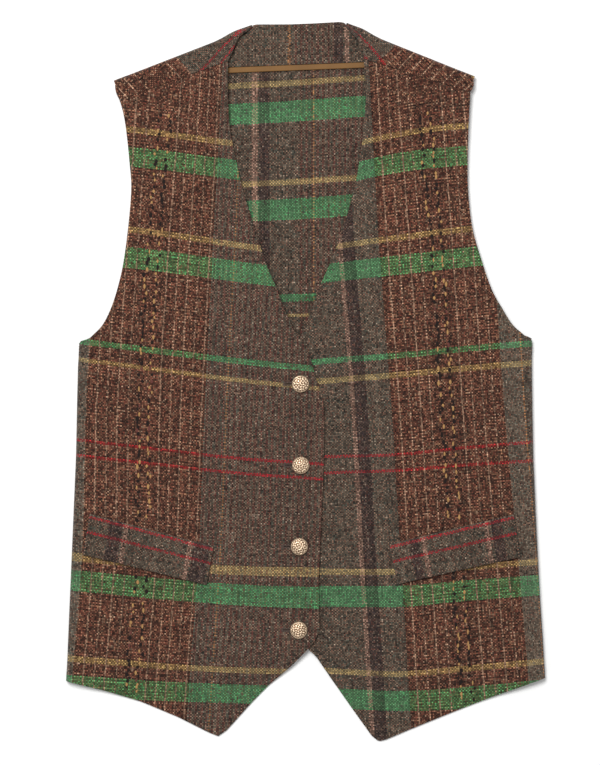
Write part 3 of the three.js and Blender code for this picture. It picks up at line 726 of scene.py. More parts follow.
def tweed(name, warp, weft, slub_at=0.0):
    """A check tweed. warp holds (yarn, start, end, mark) and weft (yarn, start, end), in millimetres."""
    material, tree, shader = new_material(name, roughness=0.92, sheen=0.12, specular=0.2)
    uv = cloth_uv(tree)
    u, v = cloth_place(tree, uv)
    threads = [calc(tree, "DIVIDE", value, THREAD) for value in (u, v)]
    warp_thread, weft_thread = (calc(tree, "FLOOR", value) for value in threads)
    in_warp, in_weft = (calc(tree, "FRACT", value) for value in threads)

    def chance(seed):
        """A random number for each crossing of two threads."""
        return white_noise(tree, vector(tree, warp_thread, weft_thread, seed))

    chessboard = is_odd(tree, calc(tree, "ADD", warp_thread, weft_thread))
    miss = between(tree, chance(1.0), -MISSES, MISSES)
    warp_on_top = over(tree, calc(tree, "ADD", chessboard, miss), 0.5)
    warp_colour, mark = stripe_lookup(tree, warp_thread, warp, ("grey", PLAIN))
    weft_stripes = [(*stripe, PLAIN) for stripe in weft]
    weft_colour, ground = stripe_lookup(tree, weft_thread, weft_stripes, ("taupe", GROUND))
    on_band = over(tree, mark, (BAND + RIBBED) / 2)
    ribs_or_band = over(tree, mark, (RIBBED + SHADED) / 2)
    ribbed = calc(tree, "SUBTRACT", ribs_or_band, on_band)
    shaded = calc(tree, "SUBTRACT", over(tree, mark, (SHADED + PLAIN) / 2), ribs_or_band)

    weft_colour = blend(tree, product(tree, on_band, ground, FUZZ), weft_colour, YARNS["fuzz"])
    weft_colour = blend(tree, product(tree, shaded, SHADE), weft_colour, YARNS["dark"])
    since_rust = calc(tree, "FRACT", calc(tree, "DIVIDE", u, RUST_EVERY))
    rust_line = product(tree, calc(tree, "LESS_THAN", since_rust, RIB_SHARE), ribbed)
    warp_colour = blend(tree, rust_line, warp_colour, YARNS["rust_line"])
    covered = product(tree, calc(tree, "SUBTRACT", 1.0, ground), STRIPE_COVER)
    warp_colour = blend(tree, covered, warp_colour, weft_colour)
    colour = blend(tree, warp_on_top, weft_colour, warp_colour)
    colour = add_flecks(tree, colour, chance(2.0), on_band, ground)
    pink = product(tree, pink_lines(tree, u, slub_at, chance(3.0)), on_band, 0.9)
    colour = blend(tree, pink, colour, YARNS["pink"])

    height = product(tree, hump(tree, in_warp), hump(tree, in_weft))
    deep = chance(4.0)
    spread = product(
        tree,
        between(tree, calc(tree, "POWER", deep, 1.5), *CROSSING_TONE),
        between(tree, on_band, 1.0, BAND_CONTRAST),
        between(tree, ground, STRIPE_CONTRAST, 1.0),
    )
    uneven = calc(tree, "SUBTRACT", between(tree, on_band, 1.0, LEAD_ON_BAND), shaded)
    lead = product(tree, uneven, between(tree, ground, LEAD_ON_STRIPES, 1.0))
    rows = between(tree, is_odd(tree, weft_thread), -ROW_CONTRAST, ROW_CONTRAST)
    tones = [
        calc(tree, "MULTIPLY_ADD", rows, on_band, 1.0),
        calc(tree, "MAXIMUM", calc(tree, "ADD", spread, 1.0), 0.1),
        calc(tree, "MULTIPLY_ADD", between(tree, warp_on_top, WEFT_LEAD, -WEFT_LEAD), lead, 1.0),
        # painted shade, darker towards the crevices between the threads
        between(tree, height, *CREVICE_SHADE),
        between(tree, white_noise(tree, vector(tree, warp_thread, 0.0, 5.0)), *WARP_TONE),
        between(tree, white_noise(tree, vector(tree, 0.0, weft_thread, 6.0)), *WEFT_TONE),
        between(tree, noise(tree, uv, size=0.06, detail=3.0).outputs["Fac"], *PATCH_TONE),
    ]
    for tone in tones:
        colour = scale(tree, colour, tone)
    hue = blend(tree, on_band, (1.0, 1.0, 1.0), BAND_HUE)
    plug(tree, blend(tree, 1.0, colour, hue, "MULTIPLY"), shader.inputs["Base Color"])
    bump(tree, shader, product(tree, height, between(tree, deep, 0.5, 1.0)), 0.0006, 0.8)
    return material


GROUND_FROM_BAND = 0.1  # millimetres, like the rest of these
GROUND_FROM_ORANGE = 1.4
RIBS_END = 30.0  # past the front edge of the right front
SIDE_END = 259.0  # past the side of either front
PINK_HALF = 2.1
DARK_BY_PINK = (2.2, 13.2)


def front_warp(name):
    """The warp stripes of a front, from its long lines, with the mark of what repeats on each."""
    line = {key: xs[MIDDLE_HEIGHT] for key, xs in LONG_LINES[name].items()}
    stripes = [
        ("rust", line["band_start"], line["band_end"], BAND),
        ("orange", line["orange"] - THREAD / 2, line["orange"] + THREAD / 2, PLAIN),
    ]
    to_orange = (line["band_end"] + GROUND_FROM_BAND, line["orange"] - GROUND_FROM_ORANGE)
    past_orange = line["orange"] + GROUND_FROM_ORANGE
    if name == "front_right":
        stripes.append(("grey", *to_orange, RIBBED))
        stripes.append(("grey", past_orange, RIBS_END, RIBBED))
        stripes.append(("side", -SIDE_END, line["band_start"] - GROUND_FROM_BAND, PLAIN))
    else:
        pink = line["pink"]
        stripes.append(("rose", pink - PINK_HALF, pink + PINK_HALF, PLAIN))
        stripes.append(("dark", pink + DARK_BY_PINK[0], pink + DARK_BY_PINK[1], SHADED))
        stripes.append(("side", *to_orange, PLAIN))
        stripes.append(("side", past_orange, SIDE_END, PLAIN))
    return stripes


front_tweed = {}
for front in (RIGHT, LEFT):
    name = front["name"]
    slub_at = LONG_LINES[name]["slub"][MIDDLE_HEIGHT]
    front_tweed[name] = tweed("tweed_" + name, front_warp(name), cross_stripes(CROSS_LINES[name]), slub_at)
print("tweeds:", ", ".join(material.name for material in front_tweed.values()))

# %% [markdown]
# ## From a grid of points to a cloth panel
#
# A panel starts as a sheet through the middle of its cloth: a grid of points, with the cloth
# coordinates as its UV map. Points that fall together, as where the turned-under part runs out at
# the armhole, are welded. Solidify gives the cloth its thickness, a little more along the edges, where
# the turnings lie inside, and a Bevel rounds the rim. Each modifier is applied at once.

# %% Panel helpers
EDGE_TURNING = 9.0
EDGE_FADE = 2.5
INSIDE_THICKNESS = 0.84  # of the thickness along the edges
RIM = 0.36  # the bevel of a rim, as a share of the thickness
RIM_ANGLE = math.radians(50)  # a corner sharper than this is a rim
WELD = 2e-6  # metres


def grid_faces(rows, columns, flip=False):
    faces = []
    for r in range(rows - 1):
        for c in range(columns - 1):
            k = r * columns + c
            face = (k, k + 1, k + 1 + columns, k + columns)
            faces.append(face[::-1] if flip else face)
    return faces


def select_only(obj):
    bpy.ops.object.select_all(action="DESELECT")
    obj.select_set(True)
    bpy.context.view_layer.objects.active = obj


def modify(obj, kind, **settings):
    """Adds a modifier with its settings, and applies it."""
    modifier = obj.modifiers.new(kind.lower(), kind)
    for key, value in settings.items():
        setattr(modifier, key, value)
    select_only(obj)
    bpy.ops.object.modifier_apply(modifier=modifier.name)


def smooth(obj, degrees=60):
    select_only(obj)
    bpy.ops.object.shade_smooth_by_angle(angle=math.radians(degrees))


def link_mesh(name, points, faces, material=None):
    """A new object in the scene, from points in millimetres."""
    mesh = bpy.data.meshes.new(name)
    mesh.from_pydata((np.array(points, float) * MM).tolist(), [], faces)
    if material:
        mesh.materials.append(material)
    return link(bpy.data.objects.new(name, mesh))


def point_list(x, y, z):
    """Grids of x, y and z as one list of points."""
    return np.stack(np.broadcast_arrays(x, y, z), axis=-1).reshape(-1, 3)


def sheet_mesh(name, points, cloth, faces):
    """A mesh with its cloth coordinates, welded where points fall together."""
    obj = link_mesh(name, points, faces)
    mesh = obj.data
    layer = mesh.uv_layers.new(name="cloth")
    corner_vertex = np.empty(len(mesh.loops), dtype=np.int32)
    mesh.loops.foreach_get("vertex_index", corner_vertex)
    layer.data.foreach_set("uv", (cloth[corner_vertex] * MM).astype(np.float32).ravel())
    work = bmesh.new()
    work.from_mesh(mesh)
    bmesh.ops.remove_doubles(work, verts=work.verts, dist=WELD)
    bmesh.ops.dissolve_degenerate(work, edges=work.edges, dist=WELD)
    work.to_mesh(mesh)
    work.free()
    return obj


def edge_distance(obj):
    """The distance of each vertex from the nearest open edge of a sheet, in metres."""
    mesh = obj.data
    work = bmesh.new()
    work.from_mesh(mesh)
    rim = np.array([v.co[:] for v in work.verts if v.is_boundary])
    work.free()
    tree = KDTree(len(rim))
    for k, co in enumerate(rim):
        tree.insert(co, k)
    tree.balance()
    return [tree.find(v.co)[2] for v in mesh.vertices]


def cloth_piece(name, points, cloth, faces, thickness, material):
    obj = sheet_mesh(name, points, cloth, faces)
    group = obj.vertex_groups.new(name="thick")
    for k, distance in enumerate(edge_distance(obj)):
        inside = float(ease((distance / MM - EDGE_TURNING) / EDGE_FADE))
        group.add([k], mix(1.0, INSIDE_THICKNESS, inside), "REPLACE")
    wall = {"thickness": thickness * MM, "offset": 0, "vertex_group": group.name}
    modify(obj, "SOLIDIFY", use_even_offset=True, **wall)
    rim = {"width": RIM * thickness * MM, "segments": 3, "angle_limit": RIM_ANGLE}
    modify(obj, "BEVEL", limit_method="ANGLE", **rim)
    obj.vertex_groups.clear()
    obj.data.materials.append(material)
    smooth(obj)
    print(name, "has", len(obj.data.polygons), "faces")
    return obj


def flat_area(x, y):
    """The area of a flat cut given as a grid of points in millimetres, in square metres."""
    across_x, across_y = x[1:, 1:] - x[:-1, :-1], y[1:, 1:] - y[:-1, :-1]
    back_x, back_y = x[1:, :-1] - x[:-1, 1:], y[1:, :-1] - y[:-1, 1:]
    return float(np.abs(across_x * back_y - across_y * back_x).sum() / 2) * MM * MM


def cut_size(x, y):
    """The width, length and area of a flat cut given as grids of x and y, in metres."""
    return np.ptp(x) * MM, np.ptp(y) * MM, flat_area(x, y)


# %% [markdown]
# ## The two fronts
#
# The rows come from the sections, close enough together for a smooth edge, and the columns run from
# the seam below, round the side fold and over to the front edge, as the cloth does.

# %% Fronts
ROW_STEP = 3.2
TURN_COLUMNS = 24
TOP_COLUMNS = 92


def front_cut(front):
    """The flat cut of a front, as grids of x and y."""
    sections, hand = front["sections"], front["hand"]
    places = places_between(sections, (1, 3), ROW_STEP)
    side_x, side_y, front_x, front_y = (along(sections[:, k], places)[:, None] for k in range(4))
    turned = 1 - ease(places - UNDERARM_ROW)[:, None]
    start = np.where(turned == 1, side_edge(front, side_y), side_x - hand * turned * CLOTH / 2)
    under_share = np.linspace(0, 1, TURN_COLUMNS)[None, :]
    top_share = np.linspace(0, 1, TOP_COLUMNS + 1)[None, 1:]
    under = start + hand * turned * TURNED * (1 - under_share)
    top = mix(start, front_x, top_share)
    x = np.hstack([under, top])
    t = np.clip((x - start) / (front_x - start), 0, 1)
    hem_x = mix(sections[0, 0], sections[0, 2], t)
    drop = hem_at(front, hem_x) - mix(sections[0, 1], sections[0, 3], t)
    y = mix(side_y, front_y, t) + drop * (1 - ease(places / FRONT_HEM_FADES))[:, None]
    return x, y


panels = {}
cuts = {}
for front in (RIGHT, LEFT):
    name = front["name"]
    x, y = front_cut(front)
    points = lay_front(front, x, y).reshape(-1, 3)
    cloth = front_cloth_map(name, x, y)
    faces = grid_faces(*x.shape, flip=front["hand"] > 0)
    panels[name] = cloth_piece(name + "_cloth", points, cloth, faces, CLOTH, front_tweed[name])
    cuts[name] = cut_size(x, y)
    print(name, "cut: %.3f by %.3f m, %.4f square metres" % cuts[name])

# %% [markdown]
# ## The back and its yokes
#
# The back is one piece of the same tweed. It lies on the table, its armholes a little inside those
# of the fronts, and each shoulder runs on into a yoke that turns over and comes forward to the seam.
# The grain of a yoke is therefore the back's grain, mirrored at the shoulder fold: the stripes cross
# it at a slant. Its cloth coordinates are those of the flat cut, from before it was turned over.

# %% Tables of the back
# Columns: right y, left y. The x of these rows is that of the side seams.
BACK_SEAM_ROWS = [
    (-273.4, -271.2), (-228.0, -226.0), (-140.0, -140.0),
    (-68.0, -68.0), (-10.0, -10.0), (25.0, 28.0),
]
# Columns: right x, right y, left x, left y
BACK_ARM_ROWS = [
    (-190.5, 38.5, 191.5, 41.5),
    (-180.5, 53.0, 181.0, 54.5),
    (-170.0, 80.0, 167.5, 80.0),
    (-162.6, 120.0, 155.2, 120.0),
    (-157.6, 170.0, 146.4, 170.0),
    (-159.0, 205.0, 145.4, 205.0),
    (-162.8, 236.0, 146.4, 238.0),
    (-168.6, 258.0, 149.6, 262.0),
    (-174.9, 273.2, 154.2, 277.1),
]
NECK_EDGE = np.array([
    (-48.2, 328.8), (-45.5, 329.5), (-14.0, 329.6), (10.0, 330.6),
    (31.0, 331.8), (34.8, 331.3), (36.6, 330.3),
])
# The fold and the seam of each yoke: armhole x, armhole y, neck x, neck y. neck_bow is how far the
# neck edge bows inwards at even steps from the fold to the seam.
RIGHT_YOKE = {
    "hand": -1,
    "fold": (-174.9, 273.2, -47.1, 322.8),
    "seam": (-170.9, 259.2, -71.1, 295.0),
    "neck_bow": (0, 5.1, 4.2, 1.8, 0),
}
LEFT_YOKE = {
    "hand": 1,
    "fold": (154.2, 277.1, 35.6, 324.6),
    "seam": (151.6, 266.4, 53.6, 296.8),
    "neck_bow": (0, 2.0, 3.8, 3.6, 0),
}
ARM_BOW = 1.3
# Near the neck a shoulder fold curves up, and then it is pressed flat where it meets the neck edge
NECK_CORNER = {"curve": 2.3, "from": 0.72, "length": 0.17, "flat_from": 0.88, "radius": 1.15, "reach": 13.0}
BACK_HEM_FADES = 4.0
ROOF = {"start": 6.0, "power": 1.6}

# Columns: yarn, width, and the height of the line at the places in BACK_CROSS_AT
BACK_CROSS_AT = (-220.0, -62.0, -50.0, 50.0, 210.0)
BACK_CROSS_LINES = [
    ("red", 2.76, (340.0, 340.0, 346.0, 348.0, 348.0)),
    ("red", 2.76, (327.8, 327.8, 336.0, 334.1, 334.1)),
    ("yellow", 5.4, (265.4, 272.5, 273.2, 279.6, 286.6)),
    ("green", 19.3, (241.8, 248.5, 249.3, 255.8, 261.2)),
    ("yellow", 5.0, (176.2, 183.3, 183.9, 190.0, 197.0)),
    ("green", 19.0, (150.2, 157.4, 157.9, 163.9, 171.0)),
    ("green", 6.4, (71.8, 76.3, 76.6, 79.3, 82.8)),
    ("yellow", 2.76, (56.8, 60.8, 61.0, 62.6, 65.8)),
    ("red", 2.76, (-30.0, -28.0, -28.0, -28.0, -30.0)),
    ("red", 2.76, (-45.0, -43.0, -43.0, -43.0, -45.0)),
    ("yellow", 5.2, (-132.0, -130.0, -130.0, -130.0, -132.0)),
    ("green", 19.0, (-157.0, -155.0, -155.0, -155.0, -157.0)),
    ("yellow", 5.2, (-226.0, -224.0, -224.0, -224.0, -226.0)),
    ("green", 19.0, (-251.0, -249.0, -249.0, -249.0, -251.0)),
]
BACK_WARP = [
    ("rust", -205.0, -120.0, BAND),
    ("rose", -49.6, -44.6, PLAIN),
    ("dark", -43.5, -33.4, SHADED),
    ("grey", -9.0, 6.7, RIBBED),
    ("orange", 7.5, 8.9, PLAIN),
    ("grey", 9.7, 56.0, RIBBED),
    ("rust", 84.4, 190.0, BAND),
]


# %% [markdown]
# The body of the back is a grid whose columns end at the shoulder folds and the neck edge. The two
# runs of columns that end at a shoulder go on as the fold and the yoke.

# %% Back
STRAP_COLUMNS = 26
CORNER_COLUMNS = 12  # of those, the ones that lie close together by the neck
CORNER_FROM = 0.84
FOLD_ROWS = 12
YOKE_ROWS = 12
BACK_STEP = 4.5
BACK_SLUB_AT = -150.0
YOKE_LENGTH = 42.0  # how far the flat cut goes on past the top of the folds


def fold_line(yoke, t):
    """The crease of a shoulder fold, from 0 at the armhole to 1 at the neck, and its radius there."""
    arm_x, arm_y, neck_x, neck_y = yoke["fold"]
    slope = (neck_y - arm_y) / (neck_x - arm_x)
    up = np.array([-slope, 1.0]) / math.hypot(1, slope)
    flat = ease((t - NECK_CORNER["flat_from"]) / (1 - NECK_CORNER["flat_from"]))
    radius = mix(FOLD, NECK_CORNER["radius"], flat)
    curve = NECK_CORNER["curve"] * ease((t - NECK_CORNER["from"]) / NECK_CORNER["length"])
    straight = np.stack([mix(arm_x, neck_x, t), mix(arm_y, neck_y, t)], axis=-1)
    return straight + (curve + FOLD - radius)[:, None] * up, up, radius


def yoke_row(yoke, s, t):
    """A row of a yoke on top: s runs from the fold to the seam, and t from the armhole to the neck."""
    start, _, radius = fold_line(yoke, t)
    arm_x, arm_y, neck_x, neck_y = yoke["seam"]
    neck_bow = float(along(yoke["neck_bow"], np.array(s * 4.0)))
    bow = neck_bow * t**4 + ARM_BOW * 4 * s * (1 - s) * (1 - t) ** 4
    x = mix(start[:, 0], mix(arm_x, neck_x, t), s) + yoke["hand"] * bow
    y = mix(start[:, 1], mix(arm_y, neck_y, t), s)
    away = np.hypot(x - start[:, 0], y - start[:, 1])
    height = mix(TABLE + 2 * radius, FOLD_TOP, ease(away / NECK_CORNER["reach"]))
    return np.column_stack([x, y, height])


def back_sections():
    rows = []
    for right_y, left_y in BACK_SEAM_ROWS:
        right_x = side_edge(RIGHT, right_y) + UNDER + FOLD + GAP
        left_x = side_edge(LEFT, left_y) - (UNDER + FOLD + GAP)
        rows.append((float(right_x), right_y, float(left_x), left_y))
    return np.array(rows + BACK_ARM_ROWS)


def back_body(sections, roof):
    """The flat body of the back, as grids of x and y."""
    last = len(sections) - 1
    places = places_between(sections, (1, 3), BACK_STEP)
    right_x, right_y, left_x, left_y = (along(sections[:, k], places)[:, None] for k in range(4))
    seam = (places < len(BACK_SEAM_ROWS) - 1)[:, None]
    right_x = np.where(seam, side_edge(RIGHT, right_y) + UNDER + FOLD + GAP, right_x)
    left_x = np.where(seam, side_edge(LEFT, left_y) - UNDER - FOLD - GAP, left_x)
    t = ((roof[:, 0] - roof[0, 0]) / (roof[-1, 0] - roof[0, 0]))[None, :]
    x = mix(right_x, left_x, t)
    arch = back_hem(x) - mix(sections[0, 1], sections[0, 3], t)
    rise = roof[:, 1][None, :] - mix(roof[0, 1], roof[-1, 1], t)
    hem_shape = (1 - ease(places / BACK_HEM_FADES))[:, None]
    roof_shape = np.clip((places - ROOF["start"]) / (last - ROOF["start"]), 0, 1)[:, None] ** ROOF["power"]
    corner = (t == 0) | (t == 1)
    y = mix(right_y, left_y, t) + np.where(corner, 0, arch * hem_shape) + rise * roof_shape
    return x, y


def back_cloth_map(x, y):
    place = np.interp(x, BACK_CROSS_AT, range(len(BACK_CROSS_AT)))
    lines = np.array([-along(heights, place) for _, _, heights in BACK_CROSS_LINES])
    values = np.array([cross_value(heights) for _, _, heights in BACK_CROSS_LINES])
    return np.stack([x, share_out(lines, values, -y)], axis=-1)


wide = np.linspace(0, CORNER_FROM, STRAP_COLUMNS - CORNER_COLUMNS, endpoint=False)
share = np.concatenate([wide, np.linspace(CORNER_FROM, 1, CORNER_COLUMNS)])
neck_x = np.unique(np.concatenate([NECK_EDGE[:, 0], np.arange(-42.0, 30.0, 3.0)]))
neck = np.stack([neck_x, np.interp(neck_x, NECK_EDGE[:, 0], NECK_EDGE[:, 1])], axis=-1)
roof = np.vstack([fold_line(RIGHT_YOKE, share)[0], neck, fold_line(LEFT_YOKE, share[::-1])[0]])
sections = back_sections()
x, y = back_body(sections, roof)
rows, columns = x.shape
points = [point_list(x, y, TABLE)]
cloth = [back_cloth_map(x.ravel(), y.ravel())]
faces = grid_faces(rows, columns, flip=True)
back_area = flat_area(x, y)
count = x.size
shoulders = [
    (RIGHT_YOKE, (rows - 1) * columns, share),
    (LEFT_YOKE, rows * columns - STRAP_COLUMNS, share[::-1]),
]
for yoke, first, order in shoulders:
    crease, up, radius = fold_line(yoke, order)
    laid_rows = []
    flat_rows = []
    for k in range(1, FOLD_ROWS + 1):
        angle = -math.pi / 2 + math.pi * k / FOLD_ROWS
        out = (radius * math.cos(angle))[:, None]
        height = TABLE + radius * (1 + math.sin(angle))
        laid_rows.append(np.column_stack([crease + up * out, height]))
        flat_rows.append(crease + up * (radius * math.pi * k / FOLD_ROWS)[:, None])
    for k in range(1, YOKE_ROWS + 1):
        row = yoke_row(yoke, k / YOKE_ROWS, order)
        down = -((row[:, :2] - crease) @ up)[:, None]
        laid_rows.append(row)
        flat_rows.append(row[:, :2] + 2 * down * up + up * FOLD * math.pi)
    flat_grid = np.array([crease, *flat_rows])
    back_area += flat_area(flat_grid[:, :, 0], flat_grid[:, :, 1])
    below = np.arange(first, first + STRAP_COLUMNS)
    for laid, flat in zip(laid_rows, flat_rows):
        here = np.arange(count, count + STRAP_COLUMNS)
        count += STRAP_COLUMNS
        points.append(laid)
        cloth.append(back_cloth_map(flat[:, 0], flat[:, 1]))
        for c in range(STRAP_COLUMNS - 1):
            faces.append((int(below[c]), int(here[c]), int(here[c + 1]), int(below[c + 1])))
        below = here
back_tweed = tweed("tweed_back", BACK_WARP, cross_stripes(BACK_CROSS_LINES), BACK_SLUB_AT)
panels["back"] = cloth_piece("back_cloth", np.vstack(points), np.vstack(cloth), faces, CLOTH, back_tweed)
back_length = roof[:, 1].max() - sections[:, 1].min() + YOKE_LENGTH
cuts["back"] = (np.ptp(x) * MM, back_length * MM, back_area)
print("back cut: %.3f by %.3f m, %.4f square metres" % cuts["back"])

# %% [markdown]
# ## The neck facing and its tape
#
# Inside the back neck lies a facing of the same cloth. Its lower edge is bound with a smooth ochre
# tape, the one glossy textile on the waistcoat. Both run on under the fronts and the yokes.

# %% Facing and tape
FACING_CLOTH = 1.4
TAPE_CLOTH = 1.8
TAPE_WIDTH = 5.0
TAPE_RIM = 0.8
TAPE_RIB = 0.0007  # metres from one rib of the tape to the next
FACING_GRID = (77, 22)  # points along and across
TAPE_GRID = (102, 9)
FACING_SIDES = (-84.0, 68.0)
FACING_LOW = (289.3, 295.2)
FACING_TOP = np.array([
    (-84.0, 307.5), (-62.0, 317.0), (-57.5, 319.6), (-53.5, 322.4), (-49.2, 325.2), (-46.6, 327.3),
    (-43.0, 328.6), (-14.0, 328.8), (10.0, 329.8), (31.0, 330.9), (34.4, 330.0), (36.4, 327.4),
    (39.4, 324.2), (42.4, 321.4), (45.5, 319.5), (52.0, 318.0), (68.0, 310.4),
])
FACING_WARP = [
    ("orange", -15.9, -13.1, PLAIN),
    ("dark", 26.4, 34.7, SHADED),
    ("rose", 35.6, 40.2, PLAIN),
    ("grey", -13.0, 26.0, RIBBED),
]


def facing_low(x):
    return np.interp(x, FACING_SIDES, FACING_LOW)


even = np.linspace(*FACING_SIDES, FACING_GRID[0])
across = np.unique(np.concatenate([even, FACING_TOP[:, 0]]))[None, :]
up = np.linspace(0, 1, FACING_GRID[1])[:, None]
x = across + 0 * up
y = mix(facing_low(x), np.interp(x, FACING_TOP[:, 0], FACING_TOP[:, 1]), up)
middle = CLOTH + GAP + FACING_CLOTH / 2
points = point_list(x, y, middle)
cloth = np.stack([x.ravel(), -y.ravel()], axis=-1)
facing_tweed = tweed("tweed_facing", FACING_WARP, [])
faces = grid_faces(*x.shape)
panels["neck_facing"] = cloth_piece("neck_facing_cloth", points, cloth, faces, FACING_CLOTH, facing_tweed)
cuts["neck_facing"] = cut_size(x, y)

tape_material, tree, shader = new_material("binding_tape", roughness=0.62, sheen=0.1, specular=0.35)
uv = cloth_uv(tree)
rib = calc(tree, "FRACT", calc(tree, "DIVIDE", split(tree, uv)["X"], TAPE_RIB))
rib = calc(tree, "SUBTRACT", 1.0, calc(tree, "ABSOLUTE", calc(tree, "MULTIPLY_ADD", rib, 2.0, -1.0)))
patchy = noise(tree, uv, size=0.02).outputs["Fac"]
# Painted shade and sheen: the tape is darker in the grooves between its ribs and lighter on their crests.
tone = product(tree, between(tree, rib, 0.8, 1.1), between(tree, patchy, 0.8, 1.2))
plug(tree, scale(tree, YARNS["tape"], tone), shader.inputs["Base Color"])
bump(tree, shader, rib, 0.0002, 0.5)

along_tape = np.linspace(*FACING_SIDES, TAPE_GRID[0])[None, :]
down_share = np.linspace(1, 0, TAPE_GRID[1])[:, None]
x = along_tape + 0 * down_share
y = facing_low(x) - GAP - TAPE_WIDTH * down_share
middle = CLOTH + GAP + TAPE_CLOTH / 2
points = point_list(x, y, middle)
cloth = np.stack([x.ravel(), -y.ravel()], axis=-1)
tape = sheet_mesh("neck_tape_cloth", points, cloth, grid_faces(*x.shape))
modify(tape, "SOLIDIFY", thickness=TAPE_CLOTH * MM, offset=0)
modify(tape, "BEVEL", limit_method="ANGLE", width=TAPE_RIM * MM, segments=4)
tape.data.materials.append(tape_material)
smooth(tape)
panels["neck_tape"] = tape
cuts["neck_tape"] = cut_size(x, y)
print("facing and tape made")

# %% [markdown]
# ## The pocket flaps
#
# Each flap has a grain of its own, parallel to its sewn edge, so its stripes run at a slant to those
# of the front. It is sewn along the top and its lower edge stands a little proud, which draws the
# dark line below it.

# %% Pocket flaps
FLAP_CLOTH = 1.8
FLAP_LIFT = {"sewn": 0.15, "free": 1.25}
FLAP_SIZE = (117.5, 38.0)
FLAP_GRID = (60, 20)  # points along and down
# The sewn edge and the free edge, each from the side towards the front
FLAPS = {
    "pocket_flap_right": (RIGHT, ((-198.1, -121.3), (-84.5, -151.6)), ((-203.9, -158.6), (-90.9, -186.8))),
    "pocket_flap_left": (LEFT, ((191.1, -121.7), (77.0, -149.3)), ((196.8, -160.8), (84.6, -186.0))),
}
FLAP_WARP = {
    "pocket_flap_right": [
        ("dark", 20.0, 32.0, SHADED),
        ("rose", 32.6, 37.4, PLAIN),
        ("rose", 92.4, 97.2, PLAIN),
        ("dark", 98.4, 114.0, SHADED),
    ],
    "pocket_flap_left": [
        ("dark", 13.0, 22.0, SHADED),
        ("rose", 24.4, 29.2, PLAIN),
        ("rose", 84.2, 89.0, PLAIN),
        ("dark", 90.0, 98.0, SHADED),
    ],
}
FLAP_WEFT = [("red", 1.9, 4.66), ("red", 15.6, 18.36)]

for name, (front, sewn, free) in FLAPS.items():
    u = np.linspace(0, 1, FLAP_GRID[0])[None, :]
    v = np.linspace(1, 0, FLAP_GRID[1])[:, None]
    x = mix(mix(sewn[0][0], sewn[1][0], u), mix(free[0][0], free[1][0], u), v)
    y = mix(mix(sewn[0][1], sewn[1][1], u), mix(free[0][1], free[1][1], u), v)
    lift = mix(FLAP_LIFT["sewn"], FLAP_LIFT["free"], v * v)
    z = front_height(front, x, y) + CLOTH / 2 + GAP + FLAP_CLOTH / 2 + lift
    points = point_list(x, y, z)
    cloth = np.stack([(u + 0 * v).ravel() * FLAP_SIZE[0], (v + 0 * u).ravel() * FLAP_SIZE[1]], axis=-1)
    flap_tweed = tweed("tweed_" + name, FLAP_WARP[name], FLAP_WEFT)
    faces = grid_faces(*x.shape, flip=front["hand"] > 0)
    panels[name] = cloth_piece(name + "_cloth", points, cloth, faces, FLAP_CLOTH, flap_tweed)
    cuts[name] = (FLAP_SIZE[0] * MM, FLAP_SIZE[1] * MM, flat_area(x, y))
print("flaps made")

# %% [markdown]
# ## Slubs
#
# Two warp yarns of each front are slub yarns, spun thick and thin. Their lumps stand out of the cloth,
# ochre and nearly black by turns. The ochre and rust lumps are dyed yarn. The nearly black ones are
# painted shade: dark lumps put where the slub yarn dips into the cloth. Each lump is a small lens with
# a few faces. They are made in one mesh for each front, and a colour attribute holds the colour of each
# one.

# %% Slubs
SLUB_LINES = (0.0, PINK_EVERY)
FLAP_ROWS = (-175.0, -128.0)  # the heights where the slub lines pass under the flaps
SLUB_RINGS = ((0.0, 0.12), (0.2, 0.72), (0.5, 1.0), (0.8, 0.72), (1.0, 0.12))
SLUB_SIDES = 6
SLUB_CLEAR = 5.0  # from the hem and from the shoulder seam
SLUB_TOP, SLUB_END = 250.0, -318.0  # the heights between which the yarns have slubs
SLUB_SIZE = {"length": (2.6, 5.4), "apart": (0.5, 5.0), "height": (0.28, 0.45)}
# The "ink" lumps are painted shade: nearly black lumps where the slub yarn dips into the cloth.
SLUB_WIDTH = {"ochre": (1.5, 2.5), "ink": (2.2, 3.6), "rust_line": (1.5, 2.5)}
SLUB_SHARES = (5, 6, 1)  # how often each yarn of SLUB_WIDTH comes

slub_material, tree, shader = new_material("slub_yarn", roughness=0.9, sheen=0.15, specular=0.2)
slub_colour = attribute(tree, "slub_colour")["Color"]
fibre = fixed_noise(tree, size=0.0012)
plug(tree, scale(tree, slub_colour, between(tree, fibre, 0.6, 1.4)), shader.inputs["Base Color"])
bump(tree, shader, fibre, 0.0003, 0.6)


def slub_points(x, y, z, length, width, height):
    """A lens that lies along -Y at x, y, as rings of points."""
    points = []
    for place, size in SLUB_RINGS:
        for k in range(SLUB_SIDES):
            angle = 2 * math.pi * k / SLUB_SIDES
            side = x + 0.5 * width * size * math.cos(angle)
            points.append((side, y - length * (place - 0.5), z + height * size * math.sin(angle)))
    return points


def slub_faces(start):
    faces = []
    for ring in range(len(SLUB_RINGS) - 1):
        for k in range(SLUB_SIDES):
            a = start + ring * SLUB_SIDES + k
            b = start + ring * SLUB_SIDES + (k + 1) % SLUB_SIDES
            faces.append((a, b, b + SLUB_SIDES, a + SLUB_SIDES))
    last = start + (len(SLUB_RINGS) - 1) * SLUB_SIDES
    faces.append(tuple(range(start, start + SLUB_SIDES))[::-1])
    faces.append(tuple(range(last, last + SLUB_SIDES)))
    return faces


